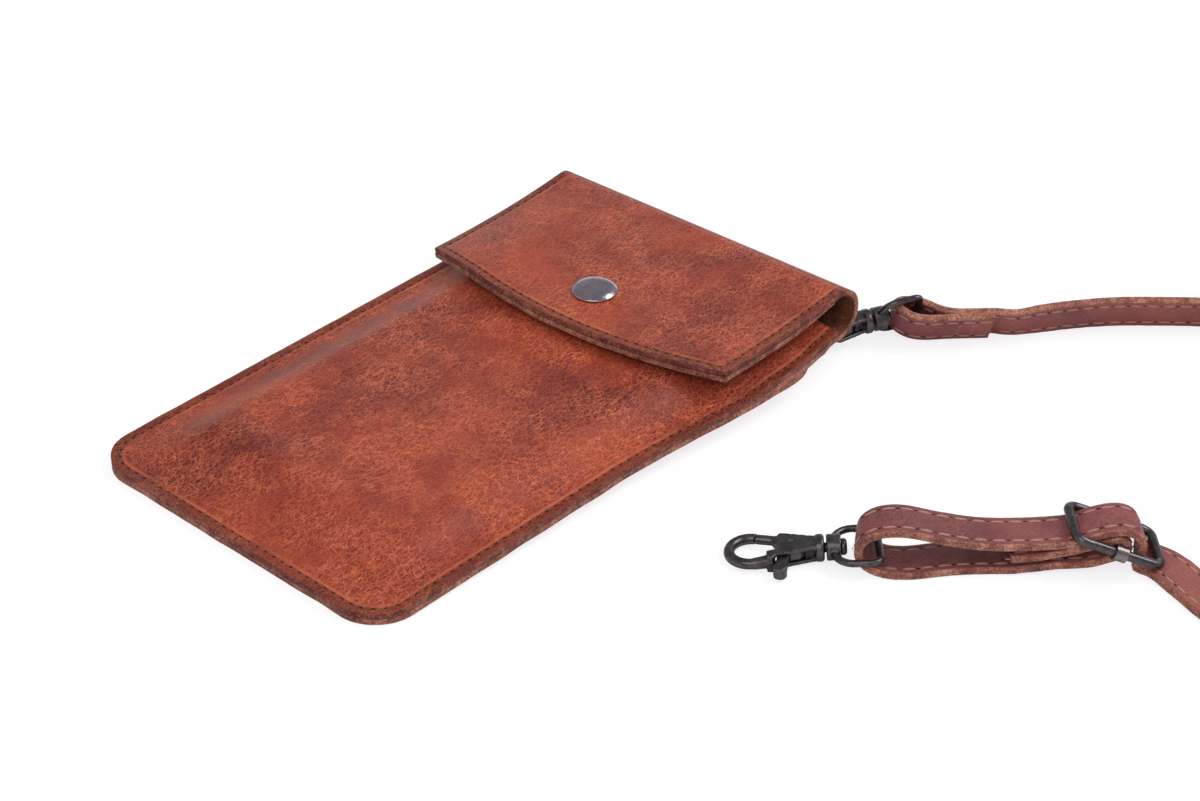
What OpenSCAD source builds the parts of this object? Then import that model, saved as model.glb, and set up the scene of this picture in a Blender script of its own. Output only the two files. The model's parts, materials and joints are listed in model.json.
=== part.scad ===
// Leather phone pouch with a snap flap and a detachable crossbody strap.
// Row frame: millimetres, +X to the right of the pouch's front, +Y towards the fold of
// the flap, +Z up, origin on the table under the middle of the pouch.

/* [Pouch] */
// width of the pouch across its stitched edges
pouch_w = 104; // [90:1:130]
// length of the pouch from its bottom end to the fold's centre
pouch_l = 173; // [140:0.2:200]
// thickness of one layer of pouch leather
leather_t = 1.6; // [1.2:0.1:2.4]
// radius of the two bottom corners
corner_r = 12; // [6:1:20]
// width of the flat stitched margin
margin_w = 4; // [3:0.5:8]
// height of the empty pocket over the back panel
pocket_h = 5.3; // [4.6:0.1:7]
// how far in from the margin the crown is reached
crown_run = 16; // [10:1:24]
// how far the right edge spreads near the mouth
flare_w = 4; // [0:0.5:6]
// distance from the fold's centre to the pocket's mouth
mouth_from_fold = 3; // [2:0.5:8]
// distance from the fold's centre to the top edge of the back panel
back_from_fold = 14; // [12:0.5:20]
// distance from the fold's centre to the lower edge of the flap leather's yoke
yoke_from_fold = 27; // [25:0.5:36]

/* [Flap] */
// width of the flap
flap_w = 103; // [90:1:130]
// outer radius of the fold at its right end
fold_r = 7.7; // [7:0.1:12]
// how much smaller the fold's radius is at its left end
fold_squash = 1.8; // [0:0.1:2]
// distance from the fold's centre to the flap's right corner
flap_corner_from_fold = 47; // [40:1:60]
// how far the curved front edge reaches past its corners
flap_sagitta = 9.5; // [2:0.5:14]
// how much further down the flap's left corner reaches than its right one
flap_skew = 3.8; // [0:0.2:4]
// how far the flap sags at its left side
flap_drape = 3.6; // [0:0.1:3.6]
// height of the flap's top face over the front panel at the snap
flap_over = 4.4; // [4.4:0.05:6]

/* [Snap button] */
// distance from the fold's centre to the snap
snap_from_fold = 41.2; // [36:0.2:44]
// diameter of the cap
snap_cap_d = 12.5; // [10:0.5:16]
// height of the cap's dome
snap_cap_h = 1.9; // [1:0.1:3]
// diameter of the stud's post
snap_post_d = 3.8; // [3:0.1:5]
// height of the stud's post
snap_post_h = 2.4; // [2:0.1:2.5]

/* [Hanger loops] */
// width of a hanger loop's leather strip
hanger_w = 6; // [5:0.1:6.2]
// distance from the pouch's side to a hanger loop's middle
hanger_from_side = 12; // [10:1:24]
// thickness of a hanger loop's leather
hanger_t = 1.3; // [1:0.1:2]
// length of the part that is sewn to the back
hanger_sewn_l = 14; // [8:1:24]
// length of the part that stays open for a hook
hanger_open_l = 10.5; // [9:0.5:14]
// height of the pouch's back over the table at the end of the loops
back_lift = 7.85; // [7:0.05:10]

/* [Clasps] */
// outer width of the hook
hook_w = 13.3; // [11:0.1:18]
// diameter of the hook's bar
hook_bar_d = 2.7; // [2:0.1:4]
// thickness of the clasp's body
clasp_body_t = 4.7; // [4:0.1:7]
// distance from the hook's tip to the lever's pivot
clasp_pivot_x = 16.7; // [14:0.1:20]
// diameter of the pivot pin
clasp_pin_d = 1.4; // [1:0.1:2]
// distance from the hook's tip to the collar
clasp_collar_x = 22.4; // [20:0.1:28]
// diameter of the collar
clasp_collar_d = 6.9; // [5:0.1:9]
// outer diameter of the swivel barrel
clasp_barrel_d = 6.6; // [5:0.1:9]
// length of the swivel barrel
clasp_barrel_l = 3.5; // [3:0.1:5]
// diameter of the swivel's spindle
clasp_spindle_d = 2.4; // [2:0.1:3]
// diameter of the eye's wire
eye_wire_d = 1.9; // [1.5:0.1:2.5]
// inner width of the eye, for the strap
eye_inner_w = 13; // [12.4:0.1:20]

/* [Slider] */
// outer length of the slider
slider_l = 25.7; // [20:0.1:32]
// inner width of the slider, for the strap
slider_inner_w = 12.7; // [12.4:0.1:20]
// diameter of the slider's wire
slider_wire_d = 2.5; // [2:0.1:3.5]

/* [Strap] */
// width of the strap
strap_w = 12; // [8:0.5:12]
// thickness of the strap, two layers sewn together
strap_t = 2.1; // [1.6:0.1:2.2]
// radius at the outside turn of the put-away coil
coil_r = 64; // [60:1:72]
// distance between neighbouring turns of the coil
coil_step = 4.7; // [4.4:0.1:6]

/* [Hidden] */
// Sides of a full circle on turned parts
round_fn = 64;
// How far a cut runs past the faces that it cuts
cut = 0.2;
// Clearance of running parts and of pieces that only touch
run_gap = 0.08;
touch_gap = 0.05;

leather_c = [0.50, 0.22, 0.13];
suede_c = [0.33, 0.16, 0.09];
strap_c = [0.38, 0.19, 0.16];
metal_c = [0.22, 0.21, 0.21];

function clamp01(v) = min(1, max(0, v));
function smooth(v) = let (c = clamp01(v)) c * c * (3 - 2 * c);
function lerp(a, b, f) = a + (b - a) * f;
function unit(v) = v / norm(v);

// Places along the pouch, from its bottom end
mouth_y = pouch_l - mouth_from_fold;
back_end_y = pouch_l - back_from_fold;
yoke_start_y = pouch_l - yoke_from_fold;
snap_y = pouch_l - snap_from_fold;

// Pouch plan: half widths at a distance y from the bottom end.
flare_start_share = 0.48;
flare_peak_share = 0.85;
flare_end_share = 1.02;
flare_left_share = 0.2;
function corner_in(y) = y >= corner_r ? 0 : corner_r - sqrt(max(0, corner_r * corner_r - pow(corner_r - y, 2)));
function flare_at(y) =
    let (a = pouch_l * flare_start_share, b = pouch_l * flare_peak_share, c = pouch_l * flare_end_share)
    flare_w * (y < b ? smooth((y - a) / (b - a)) : 1 - (1 - flare_left_share) * smooth((y - b) / (c - b)));
function left_x(y) = corner_in(y) - pouch_w / 2;
function right_x(y) = pouch_w / 2 - corner_in(y) + flare_at(y);
function plan_x(u, y) = u < 0 ? -u * left_x(y) : u * right_x(y);

// Rows from the bottom end to y_end, close together round the corners
corner_rows = 8;
function rows_to(y_end, rows) = concat(
    [for (i = [0 : corner_rows - 1]) corner_r * (1 - cos(90 * i / corner_rows))],
    [for (i = [0 : rows]) lerp(corner_r, y_end, i / rows)]);
function plan_outline(ys) = concat(
    [for (y = ys) [right_x(y), y]],
    [for (i = [len(ys) - 1 : -1 : 0]) [left_x(ys[i]), ys[i]]]);

// Front panel: a crowned shell over a flat margin.
step_start_share = 0.88;
mouth_gape = 0.5;
mouth_rise = 0.7;
mouth_rise_after = 5;
mouth_rise_run = 8;
front_cols = 20;
front_rows = 15;
mouth_rows = 4;
side_ease = 1.5;
// height of the margin's lower face: on the back panel, then on the yoke
function base_z(y) = leather_t + touch_gap
    + leather_t * smooth((y - yoke_start_y * step_start_share) / (yoke_start_y * (1 - step_start_share)))
    + mouth_gape * smooth((y - yoke_start_y) / (mouth_y - yoke_start_y));
function side_depth(u, y) = (1 - abs(u)) * abs(plan_x(u < 0 ? -1 : 1, y));
// height of the front's lower face along the middle, a little higher at the mouth
function middle_z(y) = leather_t + touch_gap + pocket_h
    + mouth_rise * smooth((y - snap_y - mouth_rise_after) / mouth_rise_run);
function crown(u, y) = (middle_z(y) - base_z(y)) * smooth((side_depth(u, y) - margin_w) / crown_run)
    * smooth((y - margin_w) / (side_ease * crown_run));
function front_z(u, y) = base_z(y) + crown(u, y);
// columns closer together near the sides, where the crown rises
function col_u(i) = sin(90 * (2 * i / front_cols - 1));

// A shell of thickness t over m rows of n points of its lower face
module shell_on(bottom, n, m, t) {
    top = [for (p = bottom) [p[0], p[1], p[2] + t]];
    s = n * m;
    polyhedron(concat(bottom, top), concat(
        [for (j = [0 : m - 2], i = [0 : n - 2], f = [0, 1]) let (a = j * n + i)
            f == 0 ? [a, a + 1, a + n] : [a + 1, a + n + 1, a + n]],
        [for (j = [0 : m - 2], i = [0 : n - 2], f = [0, 1]) let (a = s + j * n + i)
            f == 0 ? [a, a + n, a + 1] : [a + 1, a + n, a + n + 1]],
        [for (i = [0 : n - 2], f = [0, 1]) f == 0 ? [i, s + i, i + 1] : [i + 1, s + i, s + i + 1]],
        [for (i = [0 : n - 2], f = [0, 1]) let (a = (m - 1) * n + i)
            f == 0 ? [a, a + 1, s + a] : [a + 1, s + a + 1, s + a]],
        [for (j = [0 : m - 2], f = [0, 1]) let (a = j * n)
            f == 0 ? [a, a + n, s + a] : [a + n, s + a + n, s + a]],
        [for (j = [0 : m - 2], f = [0, 1]) let (a = j * n + n - 1)
            f == 0 ? [a, s + a, a + n] : [a + n, s + a, s + a + n]]));
}

// The pouch lies with its bottom end on the table and its fold end on the hanger loops
hanger_end_y = pouch_l - touch_gap;
tilt = asin(back_lift / hanger_end_y);
row_x = -flare_w / 2;
row_y = (2 * leather_t * sin(tilt) + fold_r * sin(tilt) - fold_r - pouch_l * cos(tilt)) / 2;
module on_pouch() translate([row_x, row_y, 0]) rotate([tilt, 0, 0]) children();

rise_y = snap_y + mouth_rise_after;
front_ys = concat(rows_to(rise_y, front_rows), [for (i = [1 : mouth_rows]) lerp(rise_y, mouth_y, i / mouth_rows)]);
module front_shape() shell_on([for (y = front_ys, i = [0 : front_cols]) let (u = col_u(i)) [plan_x(u, y), y, front_z(u, y)]],
    front_cols + 1, len(front_ys), leather_t);

snap_z = front_z(0, snap_y) + leather_t;
flap_top_z = snap_z + flap_over;
eyelet_tube_d = 3.2;
eyelet_hole_d = eyelet_tube_d + 2 * run_gap;
module at_snap(z) translate([0, snap_y, z]) children();

module front_panel() color(leather_c) on_pouch() difference() {
    front_shape();
    at_snap(0) cylinder(h = snap_z + flap_top_z, d = eyelet_hole_d, $fn = round_fn);
}

module back_panel() color(leather_c) on_pouch()
    linear_extrude(leather_t) polygon(plan_outline(rows_to(back_end_y, front_rows)));

// A leather ribbon of thickness t whose middle follows 2D points
function ribbon_side(p, i) =
    let (a = p[max(0, i - 1)], b = p[min(len(p) - 1, i + 1)], d = unit(b - a)) [-d[1], d[0]];
function ribbon(p, t) = concat(
    [for (i = [0 : len(p) - 1]) p[i] + ribbon_side(p, i) * t / 2],
    [for (i = [len(p) - 1 : -1 : 0]) p[i] - ribbon_side(p, i) * t / 2]);
// Side profiles are drawn as [y, z] and run across the pouch
module across(w) translate([-w / 2, 0, 0]) rotate([90, 0, 90]) linear_extrude(w) children();

// Yoke: the fixed end of the flap leather, sewn inside the back panel.
yoke_points = 8;
yoke_level = 1.5 * leather_t + touch_gap;
yoke_w = flap_w;
function yoke_mid(y) = lerp(yoke_level, leather_t / 2, smooth((y - back_end_y - leather_t) / (pouch_l - back_end_y - leather_t)));
module flap_yoke() color(leather_c) on_pouch() across(yoke_w)
    polygon(ribbon(concat([[yoke_start_y, yoke_level]],
        [for (i = [0 : yoke_points]) let (y = lerp(back_end_y, pouch_l, i / yoke_points)) [y, yoke_mid(y)]]),
        leather_t));

// Fold: the half round bend of the flap leather, flatter at its left end.
fold_points = 16;
fold_end_in = 0.05;
function fold_r_at(x) = fold_r - fold_squash * (flap_w / 2 - x) / flap_w;
function fold_arc(x, inset) = let (c = fold_r_at(x), r = c - inset) [for (i = [0 : fold_points]) let (a = 180 * i / fold_points - 90)
    [x, pouch_l + fold_end_in + r * cos(a), c + r * sin(a)]];
module flap_fold() color(leather_c) on_pouch() {
    k = fold_points + 1;
    points = [for (x = [-flap_w / 2, flap_w / 2]) each concat(fold_arc(x, 0), reversed(fold_arc(x, leather_t)))];
    polyhedron(points, concat(
        [for (i = [0 : fold_points - 1], f = [0, 1]) f == 0 ? [i, i + 1, 2 * k - 2 - i] : [i, 2 * k - 2 - i, 2 * k - 1 - i]],
        [for (i = [0 : fold_points - 1], f = [0, 1])
            f == 0 ? [2 * k + i, 4 * k - 2 - i, 2 * k + i + 1] : [2 * k + i, 4 * k - 1 - i, 4 * k - 2 - i]],
        [for (i = [0 : 2 * k - 1], f = [0, 1]) let (j = (i + 1) % (2 * k))
            f == 0 ? [i, 2 * k + j, j] : [i, 2 * k + i, 2 * k + j]]));
}

// Flap: outer leather and lining, both to the same curved outline.
flap_cols = 20;
flap_rows = 14;
flap_power = 2.2;
flap_front_lift = 0.3;
flap_drape_from = 27;
flap_corner_y = pouch_l - flap_corner_from_fold;
flap_front_y = flap_corner_y - flap_sagitta;
fold_top_z = 2 * fold_r;
flap_start_y = pouch_l - touch_gap;
edge_arc_r = (pow(flap_w / 2, 2) + pow(flap_sagitta, 2)) / (2 * flap_sagitta);
function flap_edge_y(x) = flap_front_y + edge_arc_r - sqrt(pow(edge_arc_r, 2) - x * x) - flap_skew * (flap_w / 2 - x) / flap_w;
function sag_at(x) = flap_drape * pow(max(0, -x - flap_drape_from) / (flap_w / 2 - flap_drape_from), 2);
function flap_z(x, y) = let (z = flap_top_z - sag_at(x)) y > snap_y
    ? z + (2 * fold_r_at(x) - z) * pow((y - snap_y) / (pouch_l - snap_y), flap_power)
    : z + flap_front_lift * pow((snap_y - y) / (snap_y - flap_front_y), 2);
module flap_layer(end_y, drop) shell_on([for (j = [0 : flap_rows], i = [0 : flap_cols])
    let (x = lerp(-flap_w / 2, flap_w / 2, i / flap_cols), y = lerp(flap_edge_y(x), end_y, j / flap_rows))
    [x, y, flap_z(x, y) - drop - leather_t]], flap_cols + 1, flap_rows + 1, leather_t);

socket_body_d = 7;
module flap_panel() color(leather_c) on_pouch() difference() {
    flap_layer(flap_start_y, 0);
    at_snap(0) cylinder(h = fold_top_z, d = eyelet_hole_d, $fn = round_fn);
}

lining_end_share = 0.35;
lining_end_y = pouch_l - fold_r * lining_end_share;
module flap_lining() color(suede_c) on_pouch() difference() {
    flap_layer(lining_end_y, leather_t + touch_gap);
    at_snap(0) cylinder(h = fold_top_z, d = socket_body_d + 2 * run_gap, $fn = round_fn);
}

// Snap button: stud on the front, socket and cap on the flap.
stud_flange_d = 9.6;
stud_flange_t = 0.5;
stud_neck_share = 0.84;
eyelet_flange_t = 0.5;
function stud_profile() = let (r = snap_post_d / 2, h = snap_post_h) [
    [0, 0], [stud_flange_d / 2, 0], [stud_flange_d / 2, stud_flange_t / 2],
    [r * stud_neck_share + stud_flange_t, stud_flange_t], [r * stud_neck_share, 2 * stud_flange_t],
    [r * stud_neck_share, h / 2], [r, h * stud_neck_share], [r * stud_neck_share, h], [0, h]];
module snap_stud() color(metal_c) on_pouch() at_snap(snap_z + touch_gap)
    rotate_extrude($fn = round_fn) polygon(stud_profile());

module snap_stud_eyelet() color(metal_c) on_pouch() at_snap(snap_z - leather_t - touch_gap - eyelet_flange_t)
    rotate_extrude($fn = round_fn) polygon([
        [0, 0], [stud_flange_d / 2 - eyelet_flange_t, 0], [stud_flange_d / 2 - eyelet_flange_t, eyelet_flange_t],
        [eyelet_tube_d / 2, eyelet_flange_t], [eyelet_tube_d / 2, eyelet_flange_t + leather_t + touch_gap],
        [0, eyelet_flange_t + leather_t + touch_gap]]);

flap_low_z = flap_top_z - 2 * leather_t - touch_gap;
socket_flange_d = 10.4;
socket_flange_t = 0.45;
socket_roof_t = 0.3;
socket_gap = 0.45;
socket_h = touch_gap + socket_flange_t + leather_t;
module snap_socket() color(metal_c) on_pouch() at_snap(0) difference() {
    union() {
        translate([0, 0, flap_low_z - touch_gap - socket_flange_t])
            cylinder(h = socket_flange_t, d = socket_flange_d, $fn = round_fn);
        translate([0, 0, flap_low_z - touch_gap - socket_flange_t])
            cylinder(h = socket_h, d = socket_body_d, $fn = round_fn);
    }
    translate([0, 0, flap_low_z - touch_gap - socket_flange_t - cut])
        cylinder(h = socket_h - socket_roof_t + cut, d = snap_post_d + 2 * socket_gap, $fn = round_fn);
}

cap_points = 8;
cap_rim_t = 0.5;
module snap_cap() color(metal_c) on_pouch() at_snap(flap_top_z + touch_gap) rotate_extrude($fn = round_fn)
    polygon(concat([[0, -leather_t], [eyelet_tube_d / 2, -leather_t], [eyelet_tube_d / 2, 0], [snap_cap_d / 2, 0]],
        [for (i = [0 : cap_points]) let (a = 90 * i / cap_points)
            [snap_cap_d / 2 * cos(a), cap_rim_t + (snap_cap_h - cap_rim_t) * sin(a)]]));

// Hanger loops: folded leather strips sewn to the back, splayed outwards.
hanger_splay = 30;
hanger_x = pouch_w / 2 - hanger_from_side;
hanger_bend_points = 8;
hanger_drop = back_lift - hanger_t - 2 * touch_gap;
hanger_slope_l = 8;
// the strip's middle line, s back from the loop's end, z from the pouch's back
function hanger_line() = let (top = -touch_gap - hanger_t / 2, r = (hanger_drop - touch_gap) / 2) concat(
    [[-hanger_open_l - hanger_slope_l - hanger_sewn_l, top]],
    [for (i = [0 : hanger_bend_points]) let (a = 90 - 180 * i / hanger_bend_points)
        [-r + r * cos(a), top - r + r * sin(a)]],
    [for (i = [0 : hanger_bend_points]) let (f = i / hanger_bend_points)
        [-hanger_open_l - hanger_slope_l * f,
            lerp(top - 2 * r + hanger_open_l * sin(tilt), top - hanger_t - touch_gap, smooth(f))]],
    [[-hanger_open_l - hanger_slope_l - hanger_sewn_l, top - hanger_t - touch_gap]]);
module hanger_loop(side) color(leather_c) on_pouch() translate([side * hanger_x, hanger_end_y, 0])
    rotate([0, 0, -side * hanger_splay]) across(hanger_w) polygon(ribbon(hanger_line(), hanger_t));
module hanger_loop_right() hanger_loop(1);
module hanger_loop_left() hanger_loop(-1);

// Clasp, drawn with its hook's tip at the origin and its axis along +X.
hook_bend_r = (hook_w - hook_bar_d) / 2;
hook_centre_x = hook_w / 2;
pivot_y = 0.3;
// the lever's nose closes on the hook along an arc round the pivot
nose_at = [8.3, 5.0];
nose_root = [13.4, 3.7];
nose_d = 2.5;
nose_sweep_r = norm([clasp_pivot_x, pivot_y] - nose_at);
nose_gap = 0.12;
arm_turn = 10;
arm_l = 4.6;
arm_lap = 0.5;
arm_swell = 0.2;
arm_root_d = 3.5;
arm_way = [cos(arm_turn), sin(arm_turn)];
arm_start = [hook_centre_x + hook_bend_r * sin(arm_turn), -hook_bend_r * cos(arm_turn)];
slot_h = 2.6;
slot_start_x = 12.5;
slot_end_x = 22.1;
plate_outline = [[10.4, -6.0], [11.9, -6.2], [12.6, -5.0], [22.8, -2.5], [22.8, 2.0], [14.2, 4.1], [13.3, 3.1], [13.3, -2.4], [10.4, -3.2]];
collar_l = 2.3;
collar_round = 0.45;
neck_l = 0.6;
head_d = 4.2;
head_l = 1.4;
barrel_x = clasp_collar_x + collar_l + neck_l;
head_x = barrel_x + clasp_barrel_l + run_gap;
bar_x = 38.1;
eye_r = 5;
eye_corner_r = 1.9;
eye_half_w = (eye_inner_w + eye_wire_d) / 2;
hook_open_end = 71.5;

// a round bar between two points of the clasp's plane, straight or tapered to its far end
module bar(a, b, d, end_d = 0) {
    v = b - a;
    translate([a[0], a[1], 0]) rotate([0, 90, atan2(v[1], v[0])])
        cylinder(h = norm(v), d1 = d, d2 = end_d == 0 ? d : end_d, $fn = round_fn);
}
module bend(centre, r, d, from, sweep) translate([centre[0], centre[1], 0]) rotate([0, 0, from])
    rotate_extrude(angle = sweep, $fn = round_fn) translate([r, 0]) circle(d = d, $fn = round_fn);
module sweep_disc(r) translate([clasp_pivot_x, pivot_y, -clasp_body_t])
    cylinder(h = 2 * clasp_body_t, r = r, $fn = 2 * round_fn);

module clasp_hook() color(metal_c) {
    difference() {
        union() {
            difference() {
                bend([hook_centre_x, 0], hook_bend_r, hook_bar_d, hook_open_end, 270 + arm_turn - hook_open_end);
                sweep_disc(nose_sweep_r + nose_gap);
            }
            bar(arm_start - arm_lap * arm_way, arm_start + arm_l * arm_way, hook_bar_d + arm_swell, arm_root_d);
            translate([0, 0, -clasp_body_t / 2]) linear_extrude(clasp_body_t) polygon(plate_outline);
        }
        translate([slot_start_x, -hook_w, -slot_h / 2]) cube([slot_end_x - slot_start_x, 2 * hook_w, slot_h]);
        translate([clasp_pivot_x, pivot_y, -clasp_body_t]) cylinder(h = 2 * clasp_body_t, d = clasp_pin_d + run_gap, $fn = round_fn);
    }
    translate([clasp_collar_x, 0, 0]) rotate([0, 90, 0]) rotate_extrude($fn = round_fn) polygon([
        [0, 0], [clasp_collar_d / 2 - collar_round, 0], [clasp_collar_d / 2, collar_round],
        [clasp_collar_d / 2, collar_l - collar_round], [clasp_collar_d / 2 - collar_round, collar_l],
        [clasp_spindle_d / 2, collar_l], [clasp_spindle_d / 2, head_x - clasp_collar_x],
        [head_d / 2, head_x - clasp_collar_x], [head_d / 2, head_x - clasp_collar_x + head_l - collar_round],
        [head_d / 2 - collar_round, head_x - clasp_collar_x + head_l], [0, head_x - clasp_collar_x + head_l]]);
}

lever_t = slot_h - 2 * run_gap;
tab_tip = [13.4, -8.9];
tab_tip_r = 1.7;
tab_t = 3.2;
lever_outline = [[12.2, 2.9], [13.0, 4.6], [15.4, 3.4], [18.6, 2.3], [20.0, 0.8], [20.0, -1.9], [18.8, -2.9], [16.3, -3.6],
    [15.6, -5.2], [15.05, -8.8], [11.75, -8.8], [12.75, -5.2], [13.1, -2.2], [13.2, 0.6]];
module clasp_lever() color(metal_c) difference() {
    union() {
        intersection() {
            bar(nose_at - [nose_d, -nose_d / 4], nose_root, nose_d);
            sweep_disc(nose_sweep_r);
        }
        translate([0, 0, -lever_t / 2]) linear_extrude(lever_t) polygon(lever_outline);
        translate([tab_tip[0], tab_tip[1], -tab_t / 2]) cylinder(h = tab_t, r = tab_tip_r, $fn = round_fn);
    }
    translate([clasp_pivot_x, pivot_y, -clasp_body_t]) cylinder(h = 2 * clasp_body_t, d = clasp_pin_d + 2 * run_gap, $fn = round_fn);
}

module clasp_pin() color(metal_c) translate([clasp_pivot_x, pivot_y, -clasp_body_t / 2])
    cylinder(h = clasp_body_t, d = clasp_pin_d, $fn = round_fn);

module clasp_eye() color(metal_c) {
    mid_x = barrel_x + clasp_barrel_l / 2;
    wire_y = eye_half_w - eye_r;
    translate([barrel_x, 0, 0]) rotate([0, 90, 0]) difference() {
        cylinder(h = clasp_barrel_l, d = clasp_barrel_d, $fn = round_fn);
        translate([0, 0, -cut]) cylinder(h = clasp_barrel_l + 2 * cut, d = clasp_spindle_d + 2 * run_gap, $fn = round_fn);
    }
    for (m = [0, 1]) mirror([0, m, 0]) {
        bend([mid_x + eye_r, wire_y], eye_r, eye_wire_d, 90, 90);
        bar([mid_x + eye_r, eye_half_w], [bar_x - eye_corner_r, eye_half_w], eye_wire_d);
        bend([bar_x - eye_corner_r, eye_half_w - eye_corner_r], eye_corner_r, eye_wire_d, 0, 90);
    }
    bar([bar_x, eye_corner_r - eye_half_w], [bar_x, eye_half_w - eye_corner_r], eye_wire_d);
}

// Clasp A hangs on the right hanger loop, its eye raised on edge by the strap
clasp_a_turn = 90 - hanger_splay;
clasp_a_in = 5.6;
clasp_a_roll = 121;
// rise of the eye that keeps its narrowing end off the table too
eye_rise = 0.7;
hanger_row = [row_x + hanger_x, row_y + hanger_end_y * cos(tilt)];
clasp_a_tip_z = (back_lift - touch_gap) / 2 - clasp_spindle_d / 2 * sin(tilt);
clasp_a_bar_z = eye_half_w * sin(clasp_a_roll) + eye_wire_d / 2 + eye_rise;
clasp_a_dip = asin((clasp_a_bar_z - clasp_a_tip_z) / bar_x);
module at_clasp_a() translate([hanger_row[0], hanger_row[1], clasp_a_tip_z]) rotate([0, 0, clasp_a_turn])
    translate([-clasp_a_in, 0, 0]) rotate([0, -clasp_a_dip, 0]) children();
clasp_a_reach = bar_x * cos(clasp_a_dip) - clasp_a_in;
clasp_a_bar = hanger_row + clasp_a_reach * [cos(clasp_a_turn), sin(clasp_a_turn)];

// Clasp B lies on the table at the adjuster's end, on its collar and its hook's tip
adjuster_turn = 45;
clasp_b_turn = 43;
clasp_b_bar = [114, 18.8];
clasp_b_tip_z = hook_bar_d / 2 + touch_gap;
clasp_b_dip = asin((clasp_collar_d / 2 + touch_gap - clasp_b_tip_z) / (clasp_collar_x + collar_round));
clasp_b_bar_z = clasp_b_tip_z + bar_x * sin(clasp_b_dip);
module at_adjuster() translate([clasp_b_bar[0], clasp_b_bar[1], 0]) rotate([0, 0, adjuster_turn]) children();
module at_clasp_b() translate([clasp_b_bar[0], clasp_b_bar[1], clasp_b_bar_z]) rotate([0, 0, clasp_b_turn])
    rotate([0, -clasp_b_dip, 0]) translate([-bar_x, 0, 0]) children();

// Clasp A's thumb tab points away from the pouch's right side
module clasp_a_hook() at_clasp_a() rotate([180, 0, 0]) clasp_hook();
module clasp_a_lever() at_clasp_a() rotate([180, 0, 0]) clasp_lever();
module clasp_a_pin() at_clasp_a() rotate([180, 0, 0]) clasp_pin();
module clasp_a_eye() at_clasp_a() rotate([clasp_a_roll, 0, 0]) clasp_eye();
module clasp_b_hook() at_clasp_b() clasp_hook();
module clasp_b_lever() at_clasp_b() clasp_lever();
module clasp_b_pin() at_clasp_b() clasp_pin();
module clasp_b_eye() at_clasp_b() clasp_eye();

// Slider: a bent wire frame with a crimped middle bar, tilted over the strap.
slider_at = [57.9, 7.8];
slider_dip = 20.6;
slider_corner_r = 2.6;
slider_seam = 0.25;
slider_half_l = (slider_l - slider_wire_d) / 2;
slider_half_w = (slider_inner_w + slider_wire_d) / 2;
crimp_wall = 0.8;
crimp_l = 3.2;
module at_slider() at_adjuster() translate([slider_at[0], 0, slider_at[1]]) rotate([0, slider_dip, 0]) children();
module slider_frame() color(metal_c) at_slider() difference() {
    for (a = [0, 1], b = [0, 1]) mirror([a, 0, 0]) mirror([0, b, 0]) {
        bend([slider_half_l - slider_corner_r, slider_half_w - slider_corner_r], slider_corner_r, slider_wire_d, 0, 90);
        bar([0, slider_half_w], [slider_half_l - slider_corner_r, slider_half_w], slider_wire_d);
        bar([slider_half_l, 0], [slider_half_l, slider_half_w - slider_corner_r], slider_wire_d);
    }
    translate([-slider_half_l - slider_wire_d, slider_half_w / 2, -slider_wire_d])
        cube([2 * slider_wire_d, slider_seam, 2 * slider_wire_d]);
}
module slider_bar() color(metal_c) at_slider() {
    difference() {
        union() {
            for (s = [-1, 1]) translate([-crimp_l / 2, s * slider_half_w, 0]) rotate([0, 90, 0])
                cylinder(h = crimp_l, d = slider_wire_d + 2 * crimp_wall, $fn = round_fn);
            bar([0, -slider_half_w], [0, slider_half_w], slider_wire_d);
        }
        for (s = [-1, 1]) translate([-crimp_l, s * slider_half_w, 0]) rotate([0, 90, 0])
            cylinder(h = 2 * crimp_l, d = slider_wire_d + 2 * run_gap, $fn = round_fn);
    }
}

// Strap: a flat band swept along its route, from one sewn end to the other.
// A stop of the route is [place of the strap's middle, direction of its width].
edge_round = 0.6;
up = [0, 0, 1];
function section() = let (a = strap_w / 2, b = strap_t / 2, r = edge_round)
    [[a, r - b], [a, b - r], [a - r, b], [r - a, b], [-a, b - r], [-a, r - b], [r - a, -b], [a - r, -b]];
function ring_at(route, i) =
    let (a = route[max(0, i - 1)][0], b = route[min(len(route) - 1, i + 1)][0],
        w = unit(route[i][1]), n = unit(cross(b - a, w)))
    [for (p = section()) route[i][0] + w * p[0] + n * p[1]];
module strap_along(route, first, last) color(strap_c) {
    n = len(section());
    m = last - first + 1;
    polyhedron([for (i = [first : last]) each ring_at(route, i)], concat(
        [for (i = [2 : n - 1]) [0, i - 1, i]],
        [for (i = [2 : n - 1]) [(m - 1) * n, (m - 1) * n + i, (m - 1) * n + i - 1]],
        [for (j = [0 : m - 2], i = [0 : n - 1], f = [0, 1]) let (a = j * n + i, b = j * n + (i + 1) % n)
            f == 0 ? [a, b + n, b] : [a, a + n, b + n]]));
}

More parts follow.
